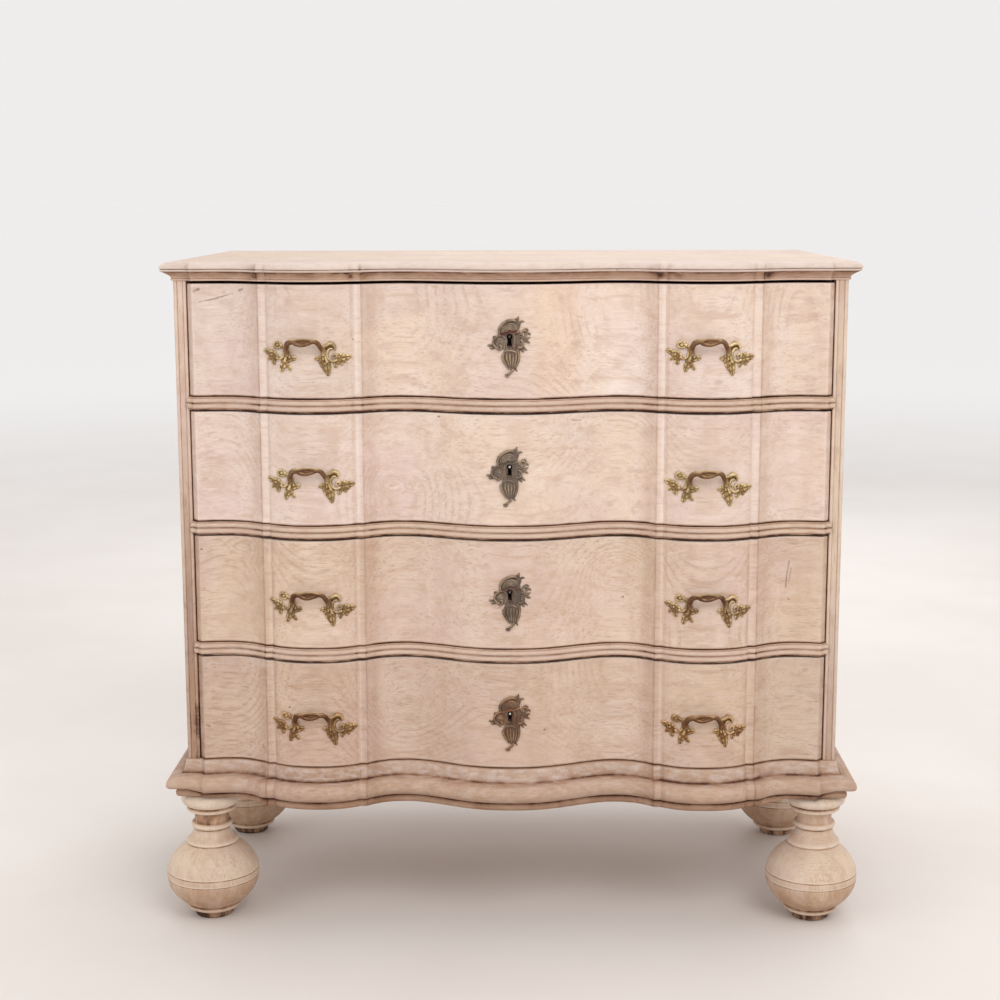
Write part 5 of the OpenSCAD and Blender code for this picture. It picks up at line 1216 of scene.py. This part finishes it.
# ---------------------------------------------------------------- floor, light, camera
def floor():
    m = Nt('pale_floor')
    o = m.obj()
    x, y, z = m.sep(o)
    r = m.math('SQRT', m.add(m.mul(x, x), m.mul(y, y)))
    n1 = m.noise(m.vmul(o, (1.3, 1.3, 1.3)), detail=4.0)
    n2 = m.noise(m.vmul(o, (60, 60, 60)), detail=3.0)
    near = m.mix(m.ramp(n1, 0.3, 0.7), lin(222, 216, 211), lin(228, 223, 219))
    c = m.mix(m.ramp(r, 2.2, 9.0), near, (1.0, 1.0, 1.0))
    m.link(c, m.b.inputs['Base Color'])
    m.b.inputs['Roughness'].default_value = 0.7
    m.b.inputs['Specular IOR Level'].default_value = 0.2
    m.link(m.bump(n2, 0.0003, 0.25), m.b.inputs['Normal'])
    V, F = [(0, 0, 0)], []
    R = [0.6, 1.5, 4, 12, 60, 250]
    K = 48
    for r_ in R:
        for k in range(K):
            a = 2*math.pi*k/K
            V.append((r_*math.cos(a), r_*math.sin(a), 0))
    for k in range(K):
        F.append((0, 1 + k, 1 + (k + 1) % K))
    for i in range(len(R) - 1):
        for k in range(K):
            k2 = (k + 1) % K
            F.append((1 + i*K + k, 1 + (i + 1)*K + k, 1 + (i + 1)*K + k2, 1 + i*K + k2))
    me = bpy.data.meshes.new('floor'); me.from_pydata(V, [], F)
    o = bpy.data.objects.new('floor', me); bpy.context.scene.collection.objects.link(o)
    me.materials.append(m.m)
    o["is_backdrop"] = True


floor()

w = bpy.data.worlds.new('studio'); bpy.context.scene.world = w
w.use_nodes = True
bg = w.node_tree.nodes['Background']
bg.inputs[0].default_value = (1.0, 0.985, 0.98, 1)
bg.inputs[1].default_value = 0.86


def area(name, loc, target, size, power, col=(1, 1, 1)):
    L = bpy.data.lights.new(name, 'AREA'); L.shape = 'RECTANGLE'; L.size = size[0]; L.size_y = size[1]
    L.energy = power; L.color = col
    o = bpy.data.objects.new(name, L)
    o.location = loc
    o.rotation_euler = (Vector(target) - Vector(loc)).to_track_quat('-Z', 'Y').to_euler()
    bpy.context.scene.collection.objects.link(o)
    return o


area('key_light', (1.3, -3.2, 3.3), (0.0, -0.1, 0.75), (2.4, 1.8), 58, (1.0, 0.985, 0.965))
area('fill_light', (-2.9, -2.6, 2.2), (0, -0.1, 0.6), (2.2, 2.0), 16, (0.97, 0.985, 1.0))
area('top_light', (0.2, 0.6, 3.6), (0, 0.0, 1.0), (2.6, 2.0), 22, (1.0, 0.99, 0.98))
area('back_light', (0.6, 3.4, 2.4), (0, 0.2, 0.7), (2.4, 2.0), 26, (1.0, 0.99, 0.98))

sc = bpy.context.scene
sc.view_settings.view_transform = 'Standard'
sc.view_settings.look = 'None'
sc.view_settings.exposure = 0.0
sc.view_settings.gamma = 1.0

cam = bpy.data.cameras.new('camera')
cam.sensor_fit = 'HORIZONTAL'; cam.sensor_width = 36.0; cam.lens = 1799.18*36.0/1000.0
cam.clip_start = 0.05; cam.clip_end = 500
co = bpy.data.objects.new('camera', cam)
sc.collection.objects.link(co)
pi_, ro, ya = [math.radians(v) for v in (9.54, -0.13, 1.01)]
cy_, sy_ = math.cos(ya), math.sin(ya); cp, sp = math.cos(pi_), math.sin(pi_); cr, sr = math.cos(ro), math.sin(ro)
right = Vector((cr*cy_ - sr*sp*sy_, cr*sy_ + sr*sp*cy_, sr*cp))
up = Vector((-sr*cy_ - cr*sp*sy_, -sr*sy_ + cr*sp*cy_, cr*cp))
fwd = Vector((-cp*sy_, cp*cy_, -sp))
mw = Matrix.Identity(4)
for k in range(3):
    mw[k][0] = right[k]; mw[k][1] = up[k]; mw[k][2] = -fwd[k]
mw[0][3], mw[1][3], mw[2][3] = 0.03395, -3.0950, 1.18913
co.matrix_world = mw
sc.camera = co

bpy.context.view_layer.update()
B1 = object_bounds()
flat = lambda b: [[float(v) for v in c] for c in b]
{"cad": flat(BOX0), "visual": flat(B1)}
